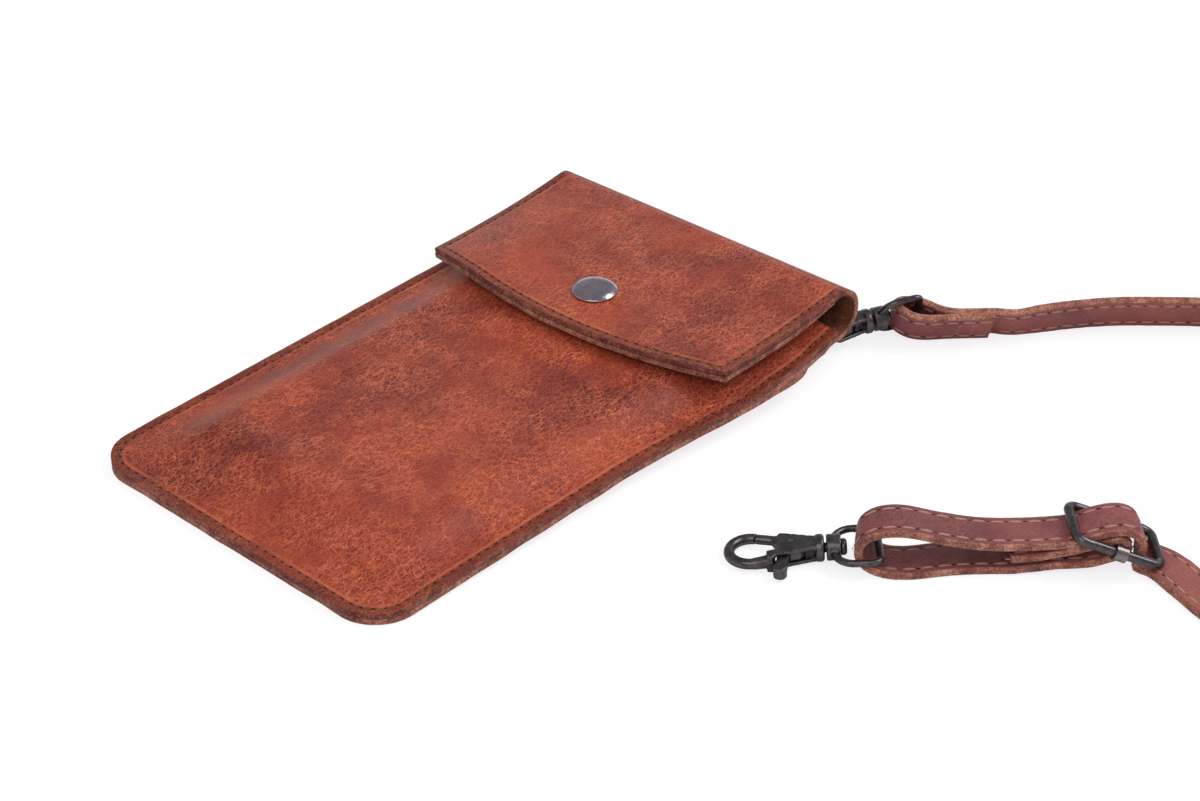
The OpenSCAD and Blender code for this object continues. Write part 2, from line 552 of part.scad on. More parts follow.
// The end loop round clasp A's eye: places along and across its own line and over the table, tail first
end_heading = 48;
end_lean = [0.405, -0.365, 0.839];
end_places = [[20, -5.55, 5.75], [16, -5.55, 5.75], [12, -5.55, 5.75], [8.5, -5.6, 5.75], [5, -5.85, 5.75], [2, -5.95, 5.8],
    [-0.6, -5.6, 5.9], [-2.8, -4.7, 6.2], [-4.5, -3.5, 6.7], [-5.6, -2, 7.1], [-6.1, -0.4, 7.3], [-5.8, 1.3, 7.1],
    [-4.7, 2.8, 6.6], [-2.7, 3.95, 6.05], [-0.2, 4.05, 5.85], [2.2, 2.7, 5.8], [4.5, 0.3, 5.8], [7.2, -1.8, 5.8],
    [10.5, -2.8, 5.8], [15, -2.95, 5.8], [20.3, -2.95, 5.8]];
end_loop_stops = [for (p = end_places)
    [[clasp_a_bar[0] + p[0] * cos(end_heading) - p[1] * sin(end_heading),
        clasp_a_bar[1] + p[0] * sin(end_heading) + p[1] * cos(end_heading), p[2]], end_lean]];

// The lead that leaves the view behind the pouch, leaning on its edge
lead_lean = [0.32, -0.3, 0.9];
lead_stops = [
    [[75, 127.7, 5.8], [0.39, -0.355, 0.85]], [[78.1, 132.6, 5.9], [0.34, -0.31, 0.89]],
    [[80.6, 136.8, 5.95], lead_lean], [[84.4, 142.8, 5.95], lead_lean], [[88.5, 148.6, 5.95], lead_lean],
    [[93.2, 154.2, 5.95], lead_lean], [[100.9, 162, 5.95], lead_lean], [[109.2, 169.9, 5.95], lead_lean],
    [[121.5, 179.2, 6], [0.2, -0.2, 0.96]], [[134.3, 187.3, 6.1], [0.1, -0.1, 0.99]], [[148, 195.2, 6.1], up],
    [[162, 203.5, 6.1], up], [[175, 210, 6.1], up]];

// The put-away coil: both halves of the strap wound the same way, joined by an S in the middle
coil_at = [209.5, 154.8];
coil_start = 110;
coil_rings = 24;
coil_z = strap_w / 2 + touch_gap;
coil_inner_r = coil_r - 2 * coil_step;
function coil_place(r, a) = [coil_at[0] + r * cos(a), coil_at[1] + r * sin(a), coil_z];
function arm_place(i, turn) = coil_place(coil_r - 2 * coil_step * i / coil_rings, coil_start + turn - 360 * i / coil_rings);
function half_s(turn) = let (r = coil_inner_r / 2, a = coil_start + turn, c = coil_place(r, a))
    [for (i = [1 : coil_rings / 2 - 1]) let (b = a - 360 * i / coil_rings) c + r * [cos(b), sin(b), 0]];
function reversed(v) = [for (i = [len(v) - 1 : -1 : 0]) v[i]];
coil_stops = [for (p = concat(
    [for (i = [0 : coil_rings]) arm_place(i, 0)], half_s(0), [coil_place(0, 0)],
    reversed(half_s(180)), [for (i = [coil_rings : -1 : 0]) arm_place(i, 180)])) [p, up]];

// The return from the coil to the slider, turning from its edge to flat
return_stops = [
    [[240.5, 98.4, 6.1], up], [[249, 97.5, 6.1], up], [[255, 91, 6.1], up], [[257, 81, 6.1], up],
    [[254.5, 69, 6.1], up], [[246.5, 59.5, 6.1], up], [[235, 54, 6.1], up], [[221, 52.5, 6], [0, 0.15, 1]],
    [[208, 54.5, 5.6], [0.1, 0.5, 0.9]], [[197, 57.5, 4.2], [0.15, 0.85, 0.5]],
    [[186, 60.3, 1.5], [0.28, 0.96, 0.05]], [[178.5, 62.7, 1.2], [0.28, 0.96, 0]]];

// The adjuster: under the slider's end wire, over its middle bar, round clasp B's eye and back
// round the middle bar. A place is along the adjuster, over the table, across it and turned.
low_z = strap_t / 2 + 2 * touch_gap;
function or_zero(p, i) = len(p) > i ? p[i] : 0;
function adjuster_stop(p) = let (a = adjuster_turn, w = adjuster_turn + or_zero(p, 3), t = or_zero(p, 2))
    [[clasp_b_bar[0] + p[0] * cos(a) - t * sin(a), clasp_b_bar[1] + p[0] * sin(a) + t * cos(a), p[1]], [-sin(w), cos(w), 0]];
bar_wrap_r = 2.5;
bar_wrap_step = 30;
adjuster_places = concat(
    [[74, low_z, -9.4, -64], [72.1, low_z, -5.7, -59], [69.7, low_z, -2.4, -45], [66.9, low_z, -0.3, -31],
    [65.4, 1.6, 0, -24], [64.5, 3, 0, -18], [64.2, 4.9, 0, -12], [64.2, 7, 0, -4],
    [63.8, 9.2], [62.4, 11.3], [60.3, 12.4], [57.5, 12.6], [54.4, 12], [51, 10.8], [47.2, 9.2],
    [43, 8.6], [38, 8.2], [33, 8.05], [28, 8.05], [22, 8.55], [18, 9.25], [14, 10.05], [10, 11.05],
    [6, 11.85, 0, -3], [2.5, 11.95, 0, -6], [-0.8, 11.35, 0, -8], [-3.4, 9.9, 0, -10], [-4.7, 7.9, 0, -10],
    [-4.75, 5.6, 0, -10], [-3.7, 3.4, -0.3, -10], [-1.5, 1.9, -0.9, -10], [1.5, low_z, -1.7, -8],
    [5, low_z, -2.4, -4], [9, low_z, -2.1], [14, low_z, -1.1], [20, low_z, -0.3], [26, low_z], [32, 1.3], [38, 1.9], [43, 2.6],
    [48, 2.9], [52, 3.3], [55.3, 4.4]],
    [for (a = [-90 : bar_wrap_step : 120]) [slider_at[0] + bar_wrap_r * cos(a), slider_at[1] + bar_wrap_r * sin(a)]],
    [[54.4, 9.2], [51, 8.2], [47, 6.95], [43, 6.1], [39, 5.2], [35, 4.7], [31.8, 4.5]]);

stops = concat(end_loop_stops, lead_stops, coil_stops, return_stops, [for (p = adjuster_places) adjuster_stop(p)]);
end_last = len(end_loop_stops) - 1;
coil_first = end_last + len(lead_stops) + 1;
coil_last = coil_first + len(coil_stops) - 1;
turn_first = coil_last + len(return_stops);
module strap_end_loop() strap_along(stops, 0, end_last);
module strap_lead() strap_along(stops, end_last, coil_first);
module strap_coil() strap_along(stops, coil_first, coil_last);
module strap_return() strap_along(stops, coil_last, turn_first);
module strap_adjuster() strap_along(stops, turn_first, len(stops) - 1);

// Least gap between the coil's turns, measured from its middle points to its middle line
function to_line(p, a, b) = let (v = b - a, f = clamp01((p - a) * v / (v * v))) norm(p - a - f * v);
coil_gap = min([for (i = [0 : len(coil_stops) - 1], j = [0 : len(coil_stops) - 2]) if (abs(i - j) > coil_rings / 3)
    to_line(coil_stops[i][0], coil_stops[j][0], coil_stops[j + 1][0])]) - strap_t;
function route_length(r, i = 1) = i >= len(r) ? 0 : norm(r[i][0] - r[i - 1][0]) + route_length(r, i + 1);
echo(coil_gap = coil_gap, strap_length = route_length(stops), tilt = tilt);

front_panel();
back_panel();
flap_yoke();
flap_fold();
flap_panel();
flap_lining();
snap_stud();
snap_stud_eyelet();
snap_socket();
snap_cap();
hanger_loop_right();
hanger_loop_left();
clasp_a_eye();
clasp_a_hook();
clasp_a_pin();
clasp_a_lever();
clasp_b_eye();
clasp_b_hook();
clasp_b_pin();
clasp_b_lever();
slider_frame();
slider_bar();
strap_end_loop();
strap_lead();
strap_coil();
strap_return();
strap_adjuster();
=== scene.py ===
# %% [markdown]
# # A leather phone pouch with its crossbody strap
#
# The pouch is two layers of waxed, crackled leather, sewn together round three sides. A flap
# folds over from the back and closes with a snap button. A narrow strap clips to two small
# loops with trigger clasps. The construction model is loaded first: it says where every piece
# is, so nothing here is fitted by eye. What we add is the leather, thread and metal.

# %% Load the construction model
import json
import math

import bmesh
import bpy
from mathutils import Matrix, Vector, noise

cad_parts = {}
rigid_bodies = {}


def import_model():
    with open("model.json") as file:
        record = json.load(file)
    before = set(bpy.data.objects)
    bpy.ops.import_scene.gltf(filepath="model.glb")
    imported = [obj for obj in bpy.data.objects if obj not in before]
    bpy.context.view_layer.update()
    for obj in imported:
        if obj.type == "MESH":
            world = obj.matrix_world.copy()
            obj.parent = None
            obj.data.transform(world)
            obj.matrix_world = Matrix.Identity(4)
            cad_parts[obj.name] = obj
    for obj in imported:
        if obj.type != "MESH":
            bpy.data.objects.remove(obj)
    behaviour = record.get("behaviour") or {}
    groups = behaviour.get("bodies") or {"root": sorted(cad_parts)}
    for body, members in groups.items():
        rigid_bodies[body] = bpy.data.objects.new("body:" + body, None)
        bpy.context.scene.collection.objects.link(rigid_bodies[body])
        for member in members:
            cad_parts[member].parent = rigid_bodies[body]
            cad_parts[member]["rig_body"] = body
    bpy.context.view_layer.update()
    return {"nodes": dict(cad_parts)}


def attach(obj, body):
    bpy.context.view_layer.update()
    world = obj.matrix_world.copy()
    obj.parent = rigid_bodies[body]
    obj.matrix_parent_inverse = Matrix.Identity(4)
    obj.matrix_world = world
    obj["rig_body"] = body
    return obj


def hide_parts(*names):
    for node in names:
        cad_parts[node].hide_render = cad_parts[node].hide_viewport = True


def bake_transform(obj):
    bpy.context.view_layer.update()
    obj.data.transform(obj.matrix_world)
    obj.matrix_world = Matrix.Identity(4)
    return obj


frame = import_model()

cad = frame["nodes"]

# %% [markdown]
# ## The camera
#
# A photograph's camera can be found from the object itself, by matching known sizes to their
# places in the picture. That gives three directions and a point. The long lens keeps the
# pouch's sides nearly parallel, as product photographs do.

# %% Set up the camera
camera_right = Vector((0.73480, 0.67759, 0.03085))
camera_up = Vector((-0.38350, 0.37751, 0.84286))
camera_forward = Vector((-0.55946, 0.63116, -0.53725))
camera_data = bpy.data.cameras.new("camera")
camera_data.sensor_width = 36
camera_data.lens = 92.46
camera = bpy.data.objects.new("camera", camera_data)
turn = Matrix((camera_right, camera_up, -camera_forward)).transposed().to_4x4()
camera.matrix_world = Matrix.Translation((0.47280, -0.49086, 0.43833)) @ turn
bpy.context.scene.collection.objects.link(camera)
bpy.context.scene.camera = camera
print("camera looks down by", round(math.degrees(math.asin(-camera_forward.z)), 1), "degrees")

# %% [markdown]
# ## Two frames of reference
#
# The pouch lies tilted, because its loops lift its back end. It is easiest to model it flat,
# in millimetres, and to tilt the finished mesh. One matrix does that. The strap is modelled
# in millimetres over the table, so it only needs the change to metres.

# %% From millimetres to the frame
millimetre = 0.001
table_frame = Matrix.Scale(millimetre, 4)
tilt = math.radians(2.60148)
pouch_frame = (Matrix.Translation((-0.002, -0.0900135, 0)) @ Matrix.Rotation(tilt, 4, "X")
    @ Matrix.Scale(millimetre, 4))


def in_pouch(x, y, z):
    return pouch_frame @ Vector((x, y, z))


def lerp(a, b, f):
    return a + (b - a) * f


def smooth(v):
    v = min(1, max(0, v))
    return v * v * (3 - 2 * v)


print("the fold's centre is at", [round(c, 4) for c in in_pouch(0, 173, 6.8)])

# %% [markdown]
# ## Building a material
#
# Every finish here is a small network of nodes round one Principled shader. A few helpers
# keep the cells short. They add a node with its values, put a number, a colour or another
# node's output into a socket, colour a pattern, mix two colours, do arithmetic on a pattern,
# stretch it to another range, make a plain noise, and turn a height into a bump.

# %% Helpers for materials
def new_finish(name):
    material = bpy.data.materials.new(name)
    material.use_nodes = True
    return material, material.node_tree, material.node_tree.nodes["Principled BSDF"]


def add(tree, kind, values=(), **settings):
    made = tree.nodes.new(kind)
    for key, value in settings.items():
        setattr(made, key, value)
    for key, value in dict(values).items():
        made.inputs[key].default_value = value
    return made


def feed(tree, value, socket):
    if isinstance(value, bpy.types.NodeSocket):
        tree.links.new(value, socket)
    elif isinstance(value, tuple) and len(value) == 3 and len(socket.default_value) == 4:
        socket.default_value = (*value, 1)
    else:
        socket.default_value = value


def ramp(tree, source, *stops):
    made = tree.nodes.new("ShaderNodeValToRGB")
    band = made.color_ramp
    for element, (place, colour) in zip(band.elements, (stops[0], stops[-1])):
        element.position = place
        element.color = (*colour, 1)
    for place, colour in stops[1:-1]:
        band.elements.new(place).color = (*colour, 1)
    tree.links.new(source, made.inputs[0])
    return made.outputs[0]


def mix(tree, factor, first, second, blend="MIX"):
    made = add(tree, "ShaderNodeMix", data_type="RGBA", blend_type=blend)
    feed(tree, factor, made.inputs[0])
    feed(tree, first, made.inputs[6])
    feed(tree, second, made.inputs[7])
    return made.outputs[2]


def maths(tree, operation, first, second=0.0, third=0.0):
    made = add(tree, "ShaderNodeMath", operation=operation)
    for k, value in enumerate((first, second, third)):
        feed(tree, value, made.inputs[k])
    return made.outputs[0]


def times(tree, first, second):
    return maths(tree, "MULTIPLY", first, second)


def higher(tree, first, second):
    return maths(tree, "MAXIMUM", first, second)


def spread(tree, source, low, high, to_low=0.0, to_high=1.0):
    ends = {"From Min": low, "From Max": high, "To Min": to_low, "To Max": to_high}
    made = add(tree, "ShaderNodeMapRange", ends)
    tree.links.new(source, made.inputs["Value"])
    return made.outputs["Result"]


def speckle(tree, place, scale, detail=3.0, rough=0.5):
    made = add(tree, "ShaderNodeTexNoise", {"Scale": scale, "Detail": detail, "Roughness": rough})
    tree.links.new(place, made.inputs["Vector"])
    return made.outputs["Fac"]


def bumped(tree, height, strength, distance, over=None):
    made = add(tree, "ShaderNodeBump", {"Strength": strength, "Distance": distance})
    tree.links.new(height, made.inputs["Height"])
    if over is not None:
        tree.links.new(over, made.inputs["Normal"])
    return made.outputs[0]


print("helpers ready")

# %% [markdown]
# ## Waxed, crackled leather
#
# The hide was waxed and milled, so its surface broke into fine cells. The wax is rubbed
# off along the cracks, which shows as a lighter orange network, and it pools in larger
# purplish clouds. A Voronoi pattern that gives the distance to its cells' edges draws such a
# network. Its coordinates are drawn out along one direction and bent by a noise, so that it
# doesn't look like tiles. Thin wisps, the level lines of a plain noise, wander between the
# cells. The bump uses the same lines, so that the cracks catch the light. Close to a sewn edge
# the leather is burnished darker, and an attribute on the mesh says how far the edge is.

# %% Crackled leather
def bent_place(tree, place, scale, amount):
    wobble = add(tree, "ShaderNodeTexNoise", {"Scale": scale, "Detail": 2.0})
    tree.links.new(place, wobble.inputs["Vector"])
    moved = add(tree, "ShaderNodeVectorMath", operation="MULTIPLY_ADD")
    tree.links.new(wobble.outputs["Color"], moved.inputs[0])
    moved.inputs[1].default_value = (amount, amount, amount)
    tree.links.new(place, moved.inputs[2])
    return moved.outputs[0]


def drawn_out(tree, place, heading, squeeze):
    values = {"Rotation": (0, 0, heading), "Scale": (1.0, squeeze, 1.0)}
    made = add(tree, "ShaderNodeMapping", values)
    tree.links.new(place, made.inputs["Vector"])
    return made.outputs[0]


def wisps(tree, place, scale, width):
    level = maths(tree, "SUBTRACT", speckle(tree, place, scale, 1.2), 0.5)
    return spread(tree, maths(tree, "ABSOLUTE", level), 0.0, width, 1.0, 0.0)


def network(tree, place, scale, width):
    cells = add(tree, "ShaderNodeTexVoronoi", {"Scale": scale}, feature="DISTANCE_TO_EDGE")
    tree.links.new(place, cells.inputs["Vector"])
    return spread(tree, cells.outputs["Distance"], 0.0, width, 1.0, 0.0)


coarse_share, fine_share, wisp_share = 0.9, 0.55, 0.6
patch_gain, patch_floor = 0.8, 0.5


def cracks(tree, place):
    first, second = drawn_out(tree, place, 0.9, 0.45), drawn_out(tree, place, -0.5, 0.55)
    coarse = network(tree, bent_place(tree, first, 420, 0.0030), 740, 0.080)
    fine = network(tree, bent_place(tree, second, 1000, 0.0014), 1350, 0.115)
    threads = higher(tree, wisps(tree, first, 260, 0.012), wisps(tree, second, 340, 0.014))
    lines = higher(tree, times(tree, coarse, coarse_share), times(tree, fine, fine_share))
    lines = higher(tree, lines, times(tree, threads, wisp_share))
    patches = spread(tree, speckle(tree, place, 75, 3.0), 0.38, 0.60)
    return times(tree, lines, maths(tree, "MULTIPLY_ADD", patches, patch_gain, patch_floor))


print("share of the coarse cracks:", coarse_share)

# %% [markdown]
# The burnish is read from a ramp over ten millimetres from the border. Just inside the seam a
# broken pale line is painted: partly wax that the thread pulls open, partly painted highlight where
# the puckered leather catches the light.

# %% Tones close to an edge
ten_mm = 0.1
burnish_tones = [(0.0, 0.66), (0.20, 0.60), (0.26, 0.78), (0.5, 1.0)]
# Ramp for the painted highlight, a pale line just inside the seam
painted_highlight_tones = [(0.27, 0.0), (0.31, 1.0), (0.40, 0.0)]


def greys(tones):
    return [(at, (tone, tone, tone)) for at, tone in tones]


def edge_tones(tree, colour, place, clouds, line, edge):
    distance = add(tree, "ShaderNodeAttribute", attribute_name="edge_mm").outputs["Fac"]
    reach = times(tree, distance, ten_mm)
    wander = maths(tree, "ADD", reach, spread(tree, clouds, 0.3, 0.7, -0.04, 0.04))
    burnish = ramp(tree, wander, *greys(burnish_tones))
    colour = mix(tree, edge, colour, mix(tree, 1.0, colour, burnish, "MULTIPLY"))
    # The pale line is painted highlight on the puckered leather, with some wax pulled open as well
    broken = spread(tree, speckle(tree, place, 60, 2.0), 0.35, 0.65, 0.1, 0.75)
    painted_seam_highlight = times(tree, ramp(tree, reach, *greys(painted_highlight_tones)), broken)
    return mix(tree, times(tree, painted_seam_highlight, edge), colour, line)


def dirty(tree, colour, place):
    dirt = spread(tree, speckle(tree, place, 1800, 2.0), 0.3, 0.7, 0.84, 1.1)
    grey = add(tree, "ShaderNodeCombineColor")
    for k in range(3):
        tree.links.new(dirt, grey.inputs[k])
    return mix(tree, 1.0, colour, grey.outputs[0], "MULTIPLY")


print("the burnish ends", burnish_tones[-1][0] / ten_mm, "mm from the border")

# %% [markdown]
# The base colour goes from deep to warm with the clouds. The cracks, the dirt and the tones of
# the edge lie over it. The cracks also make the wax duller and cut into the bump.

# %% The two leathers
def crackled(name, tones, line, edge, share, rough):
    material, tree, shader = new_finish(name)
    place = add(tree, "ShaderNodeTexCoord").outputs["Object"]
    clouds = speckle(tree, bent_place(tree, place, 30, 0.02), 34, 5.0, 0.58)
    seen = cracks(tree, place)
    base = ramp(tree, clouds, *zip((0.32, 0.47, 0.66), tones))
    colour = dirty(tree, mix(tree, times(tree, seen, share), base, line), place)
    colour = edge_tones(tree, colour, place, clouds, line, edge)
    tree.links.new(colour, shader.inputs["Base Color"])
    gloss = spread(tree, clouds, 0.3, 0.7, rough - 0.05, rough + 0.07)
    gloss = maths(tree, "ADD", gloss, times(tree, seen, 0.10))
    tree.links.new(gloss, shader.inputs["Roughness"])
    shader.inputs["Specular IOR Level"].default_value = 0.30
    creases = speckle(tree, drawn_out(tree, place, 0.6, 0.35), 190, 4.0, 0.6)
    grain = maths(tree, "SUBTRACT", times(tree, speckle(tree, place, 2400, 3.0), 0.35), seen)
    surface = bumped(tree, grain, 0.50, 0.00014, bumped(tree, creases, 0.40, 0.0011))
    tree.links.new(surface, shader.inputs["Normal"])
    return material


pouch_tones = (0.108, 0.010, 0.015), (0.236, 0.0255, 0.0180), (0.372, 0.052, 0.0245)
strap_tones = (0.178, 0.041, 0.048), (0.292, 0.073, 0.080), (0.405, 0.116, 0.085)
pouch_leather = crackled("pouch_leather", pouch_tones, line=(0.80, 0.182, 0.074), edge=1.0,
    share=0.90, rough=0.35)
strap_leather = crackled("strap_leather", strap_tones, line=(0.50, 0.185, 0.145), edge=0.0,
    share=0.45, rough=0.44)
print("leathers:", pouch_leather.name, strap_leather.name)

# %% [markdown]
# ## Raw edges and suede
#
# A cut edge shows the fibres of the hide: pinkish brown, dull and fuzzy. The flesh side is
# a darker nap. Both are noise in colour and in a strong, small bump. Sheen lightens them at a
# grazing angle, as loose fibres do.

# %% Raw edge and suede
def fibrous(name, tones, scale, depth, sheen):
    material, tree, shader = new_finish(name)
    place = add(tree, "ShaderNodeTexCoord").outputs["Object"]
    small = speckle(tree, place, scale, 4.0, 0.7)
    large = speckle(tree, place, 260, 3.0)
    both = maths(tree, "ADD", times(tree, small, 0.6), times(tree, large, 0.4))
    colour = ramp(tree, both, *zip((0.38, 0.50, 0.63), tones))
    tree.links.new(colour, shader.inputs["Base Color"])
    tree.links.new(bumped(tree, both, 0.8, depth), shader.inputs["Normal"])
    shader.inputs["Roughness"].default_value = 0.92
    shader.inputs["Specular IOR Level"].default_value = 0.25
    shader.inputs["Sheen Weight"].default_value = sheen
    shader.inputs["Sheen Roughness"].default_value = 0.6
    return material


raw_tones = (0.105, 0.026, 0.019), (0.320, 0.104, 0.068), (0.620, 0.270, 0.180)
waxed_tones = (0.075, 0.018, 0.015), (0.195, 0.055, 0.040), (0.400, 0.155, 0.110)
suede_tones = (0.075, 0.021, 0.009), (0.170, 0.050, 0.020), (0.300, 0.103, 0.042)
strap_edge_tones = (0.135, 0.040, 0.032), (0.350, 0.122, 0.087), (0.650, 0.320, 0.225)
raw_edge = fibrous("raw_edge", raw_tones, scale=1500, depth=0.0006, sheen=0.08)
waxed_edge = fibrous("waxed_edge", waxed_tones, scale=1300, depth=0.0005, sheen=0.06)
suede = fibrous("suede", suede_tones, scale=1800, depth=0.0006, sheen=0.08)
strap_edge = fibrous("strap_edge", strap_edge_tones, scale=1700, depth=0.0005, sheen=0.15)
print("edges:", raw_edge.name, suede.name, strap_edge.name)

# %% [markdown]
# ## Thread, holes and antique metal
#
# Thread is twisted, so a fine wave runs across each stitch. The hardware is cast zinc with a
# dark antique plating: smooth, a little uneven, and rubbed lighter where it sticks out. The
# pointiness of the surface finds those places.

# %% Thread and metal
def thread(name, colour, shade):
    material, tree, shader = new_finish(name)
    place = add(tree, "ShaderNodeTexCoord").outputs["Object"]
    twist = add(tree, "ShaderNodeTexWave", {"Scale": 900.0, "Distortion": 2.0}, wave_type="BANDS",
        bands_direction="DIAGONAL")
    tree.links.new(place, twist.inputs["Vector"])
    wave = twist.outputs["Fac"]
    tree.links.new(ramp(tree, wave, (0.0, shade), (0.7, colour)), shader.inputs["Base Color"])
    tree.links.new(bumped(tree, wave, 0.5, 0.0001), shader.inputs["Normal"])
    shader.inputs["Roughness"].default_value = 0.7
    return material


def antique(name, dark, body, rubbed, rough):
    material, tree, shader = new_finish(name)
    place = add(tree, "ShaderNodeTexCoord").outputs["Object"]
    cloud = speckle(tree, place, 420, 4.0, 0.6)
    point = add(tree, "ShaderNodeNewGeometry").outputs["Pointiness"]
    worn = times(tree, spread(tree, point, 0.52, 0.60), cloud)
    colour = mix(tree, worn, ramp(tree, cloud, (0.35, dark), (0.65, body)), rubbed)
    tree.links.new(colour, shader.inputs["Base Color"])
    gloss = spread(tree, cloud, 0.3, 0.7, rough - 0.06, rough + 0.10)
    tree.links.new(gloss, shader.inputs["Roughness"])
    dimples = speckle(tree, place, 1100, 3.0)
    tree.links.new(bumped(tree, dimples, 0.22, 0.0002), shader.inputs["Normal"])
    shader.inputs["Metallic"].default_value = 1.0
    return material


pouch_thread = thread("pouch_thread", (0.300, 0.090, 0.040), (0.130, 0.035, 0.020))
strap_thread = thread("strap_thread", (0.560, 0.320, 0.245), (0.330, 0.160, 0.120))
# The holes are painted shade: a near-black thread colour on flat beads
hole_shade = thread("hole_shade", (0.020, 0.008, 0.006), (0.012, 0.005, 0.004))
metal = antique("antique_metal", (0.085, 0.075, 0.078), (0.145, 0.130, 0.134), (0.34, 0.32, 0.31),
    rough=0.29)
cap_metal = antique("cap_metal", (0.330, 0.288, 0.345), (0.420, 0.368, 0.440), (0.80, 0.76, 0.78),
    rough=0.21)
print("finishes:", len(bpy.data.materials))

# %% [markdown]
# ## Turning a bmesh into a piece
#
# All pieces end the same way: the mesh is moved into the frame, shaded smooth, given its materials
# and named. It is told which body of the construction model it rides on, except a blended piece,
# which only has its place baked into its points. The construction solids it stands for are hidden.

# %% Helper for finished pieces
def piece(name, bm, into, materials, body, replaced=(), blended=None):
    bm.transform(into)
    mesh = bpy.data.meshes.new(name)
    bm.to_mesh(mesh)
    bm.free()
    mesh.polygons.foreach_set("use_smooth", [True] * len(mesh.polygons))
    for material in materials:
        mesh.materials.append(material)
    made = bpy.data.objects.new(name, mesh)
    bpy.context.scene.collection.objects.link(made)
    if blended:
        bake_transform(made)
    else:
        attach(made, body)
    if replaced:
        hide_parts(*replaced)
    print(name, "has", len(mesh.polygons), "faces")
    return made


# %% [markdown]
# ## The strap's route
#
# The strap is one long band: it starts at the sewn tail behind the first clasp, goes round the
# clasp's eye, leaves the view behind the pouch, is put away in a coil, comes back, and ends
# in the adjuster round the slider and the second clasp. These are the construction model's own
# stops, in millimetres: a place of the band's middle and the direction of its width.

# %% The strap's stops
def on_line(origin, heading, places):
    c, s = math.cos(math.radians(heading)), math.sin(math.radians(heading))
    x, y = origin
    return [Vector((x + p[0] * c - p[1] * s, y + p[0] * s + p[1] * c, p[2])) for p in places]


upright = Vector((0, 0, 1))
end_lean = Vector((0.405, -0.365, 0.839))
end_places = [(20, -5.55, 5.75), (16, -5.55, 5.75), (12, -5.55, 5.75), (8.5, -5.6, 5.75),
    (5, -5.85, 5.75), (2, -5.95, 5.8), (-0.6, -5.6, 5.9), (-2.8, -4.7, 6.2), (-4.5, -3.5, 6.7),
    (-5.6, -2, 7.1), (-6.1, -0.4, 7.3), (-5.8, 1.3, 7.1), (-4.7, 2.8, 6.6), (-2.7, 3.95, 6.05),
    (-0.2, 4.05, 5.85), (2.2, 2.7, 5.8), (4.5, 0.3, 5.8), (7.2, -1.8, 5.8), (10.5, -2.8, 5.8),
    (15, -2.95, 5.8), (20.3, -2.95, 5.8)]
clasp_a_bar, end_heading = (54.1344, 110.704), 48
end_loop = [(p, end_lean) for p in on_line(clasp_a_bar, end_heading, end_places)]
lead_lean = (0.32, -0.3, 0.9)
lead = [((75, 127.7, 5.8), (0.39, -0.355, 0.85)), ((78.1, 132.6, 5.9), (0.34, -0.31, 0.89)),
    ((80.6, 136.8, 5.95), lead_lean), ((84.4, 142.8, 5.95), lead_lean),
    ((88.5, 148.6, 5.95), lead_lean), ((93.2, 154.2, 5.95), lead_lean),
    ((100.9, 162, 5.95), lead_lean), ((109.2, 169.9, 5.95), lead_lean),
    ((121.5, 179.2, 6), (0.2, -0.2, 0.96)), ((134.3, 187.3, 6.1), (0.1, -0.1, 0.99)),
    ((148, 195.2, 6.1), upright), ((162, 203.5, 6.1), upright), ((175, 210, 6.1), upright)]
print("stops before the coil:", len(end_loop) + len(lead))

# %% [markdown]
# The coil winds both halves of the strap the same way round and joins them by an S in the
# middle, so both ends come off its outside.

# %% The coil's stops
coil_middle = Vector((209.5, 154.8, 6.05))
coil_r, coil_step, coil_start, coil_rings = 64, 4.7, 110, 24


def coil_place(r, a):
    return coil_middle + r * Vector((math.cos(math.radians(a)), math.sin(math.radians(a)), 0))


def coil_arm(start):
    return [coil_place(coil_r - 2 * coil_step * i / coil_rings, start - 360 * i / coil_rings)
        for i in range(coil_rings + 1)]


def coil_half_s(start):
    r = (coil_r - 2 * coil_step) / 2
    centre = coil_place(r, start)
    turns = [math.radians(start - 360 * i / coil_rings) for i in range(1, coil_rings // 2)]
    return [centre + r * Vector((math.cos(t), math.sin(t), 0)) for t in turns]


coil = (coil_arm(coil_start) + coil_half_s(coil_start) + [coil_middle]
    + coil_half_s(coil_start + 180)[::-1] + coil_arm(coil_start + 180)[::-1])
print("stops in the coil:", len(coil))

# %% [markdown]
# On its way back the band turns from its edge to flat. In the adjuster it goes under the
# slider's end wire, over its middle bar, round the second clasp's eye, and back round the bar.

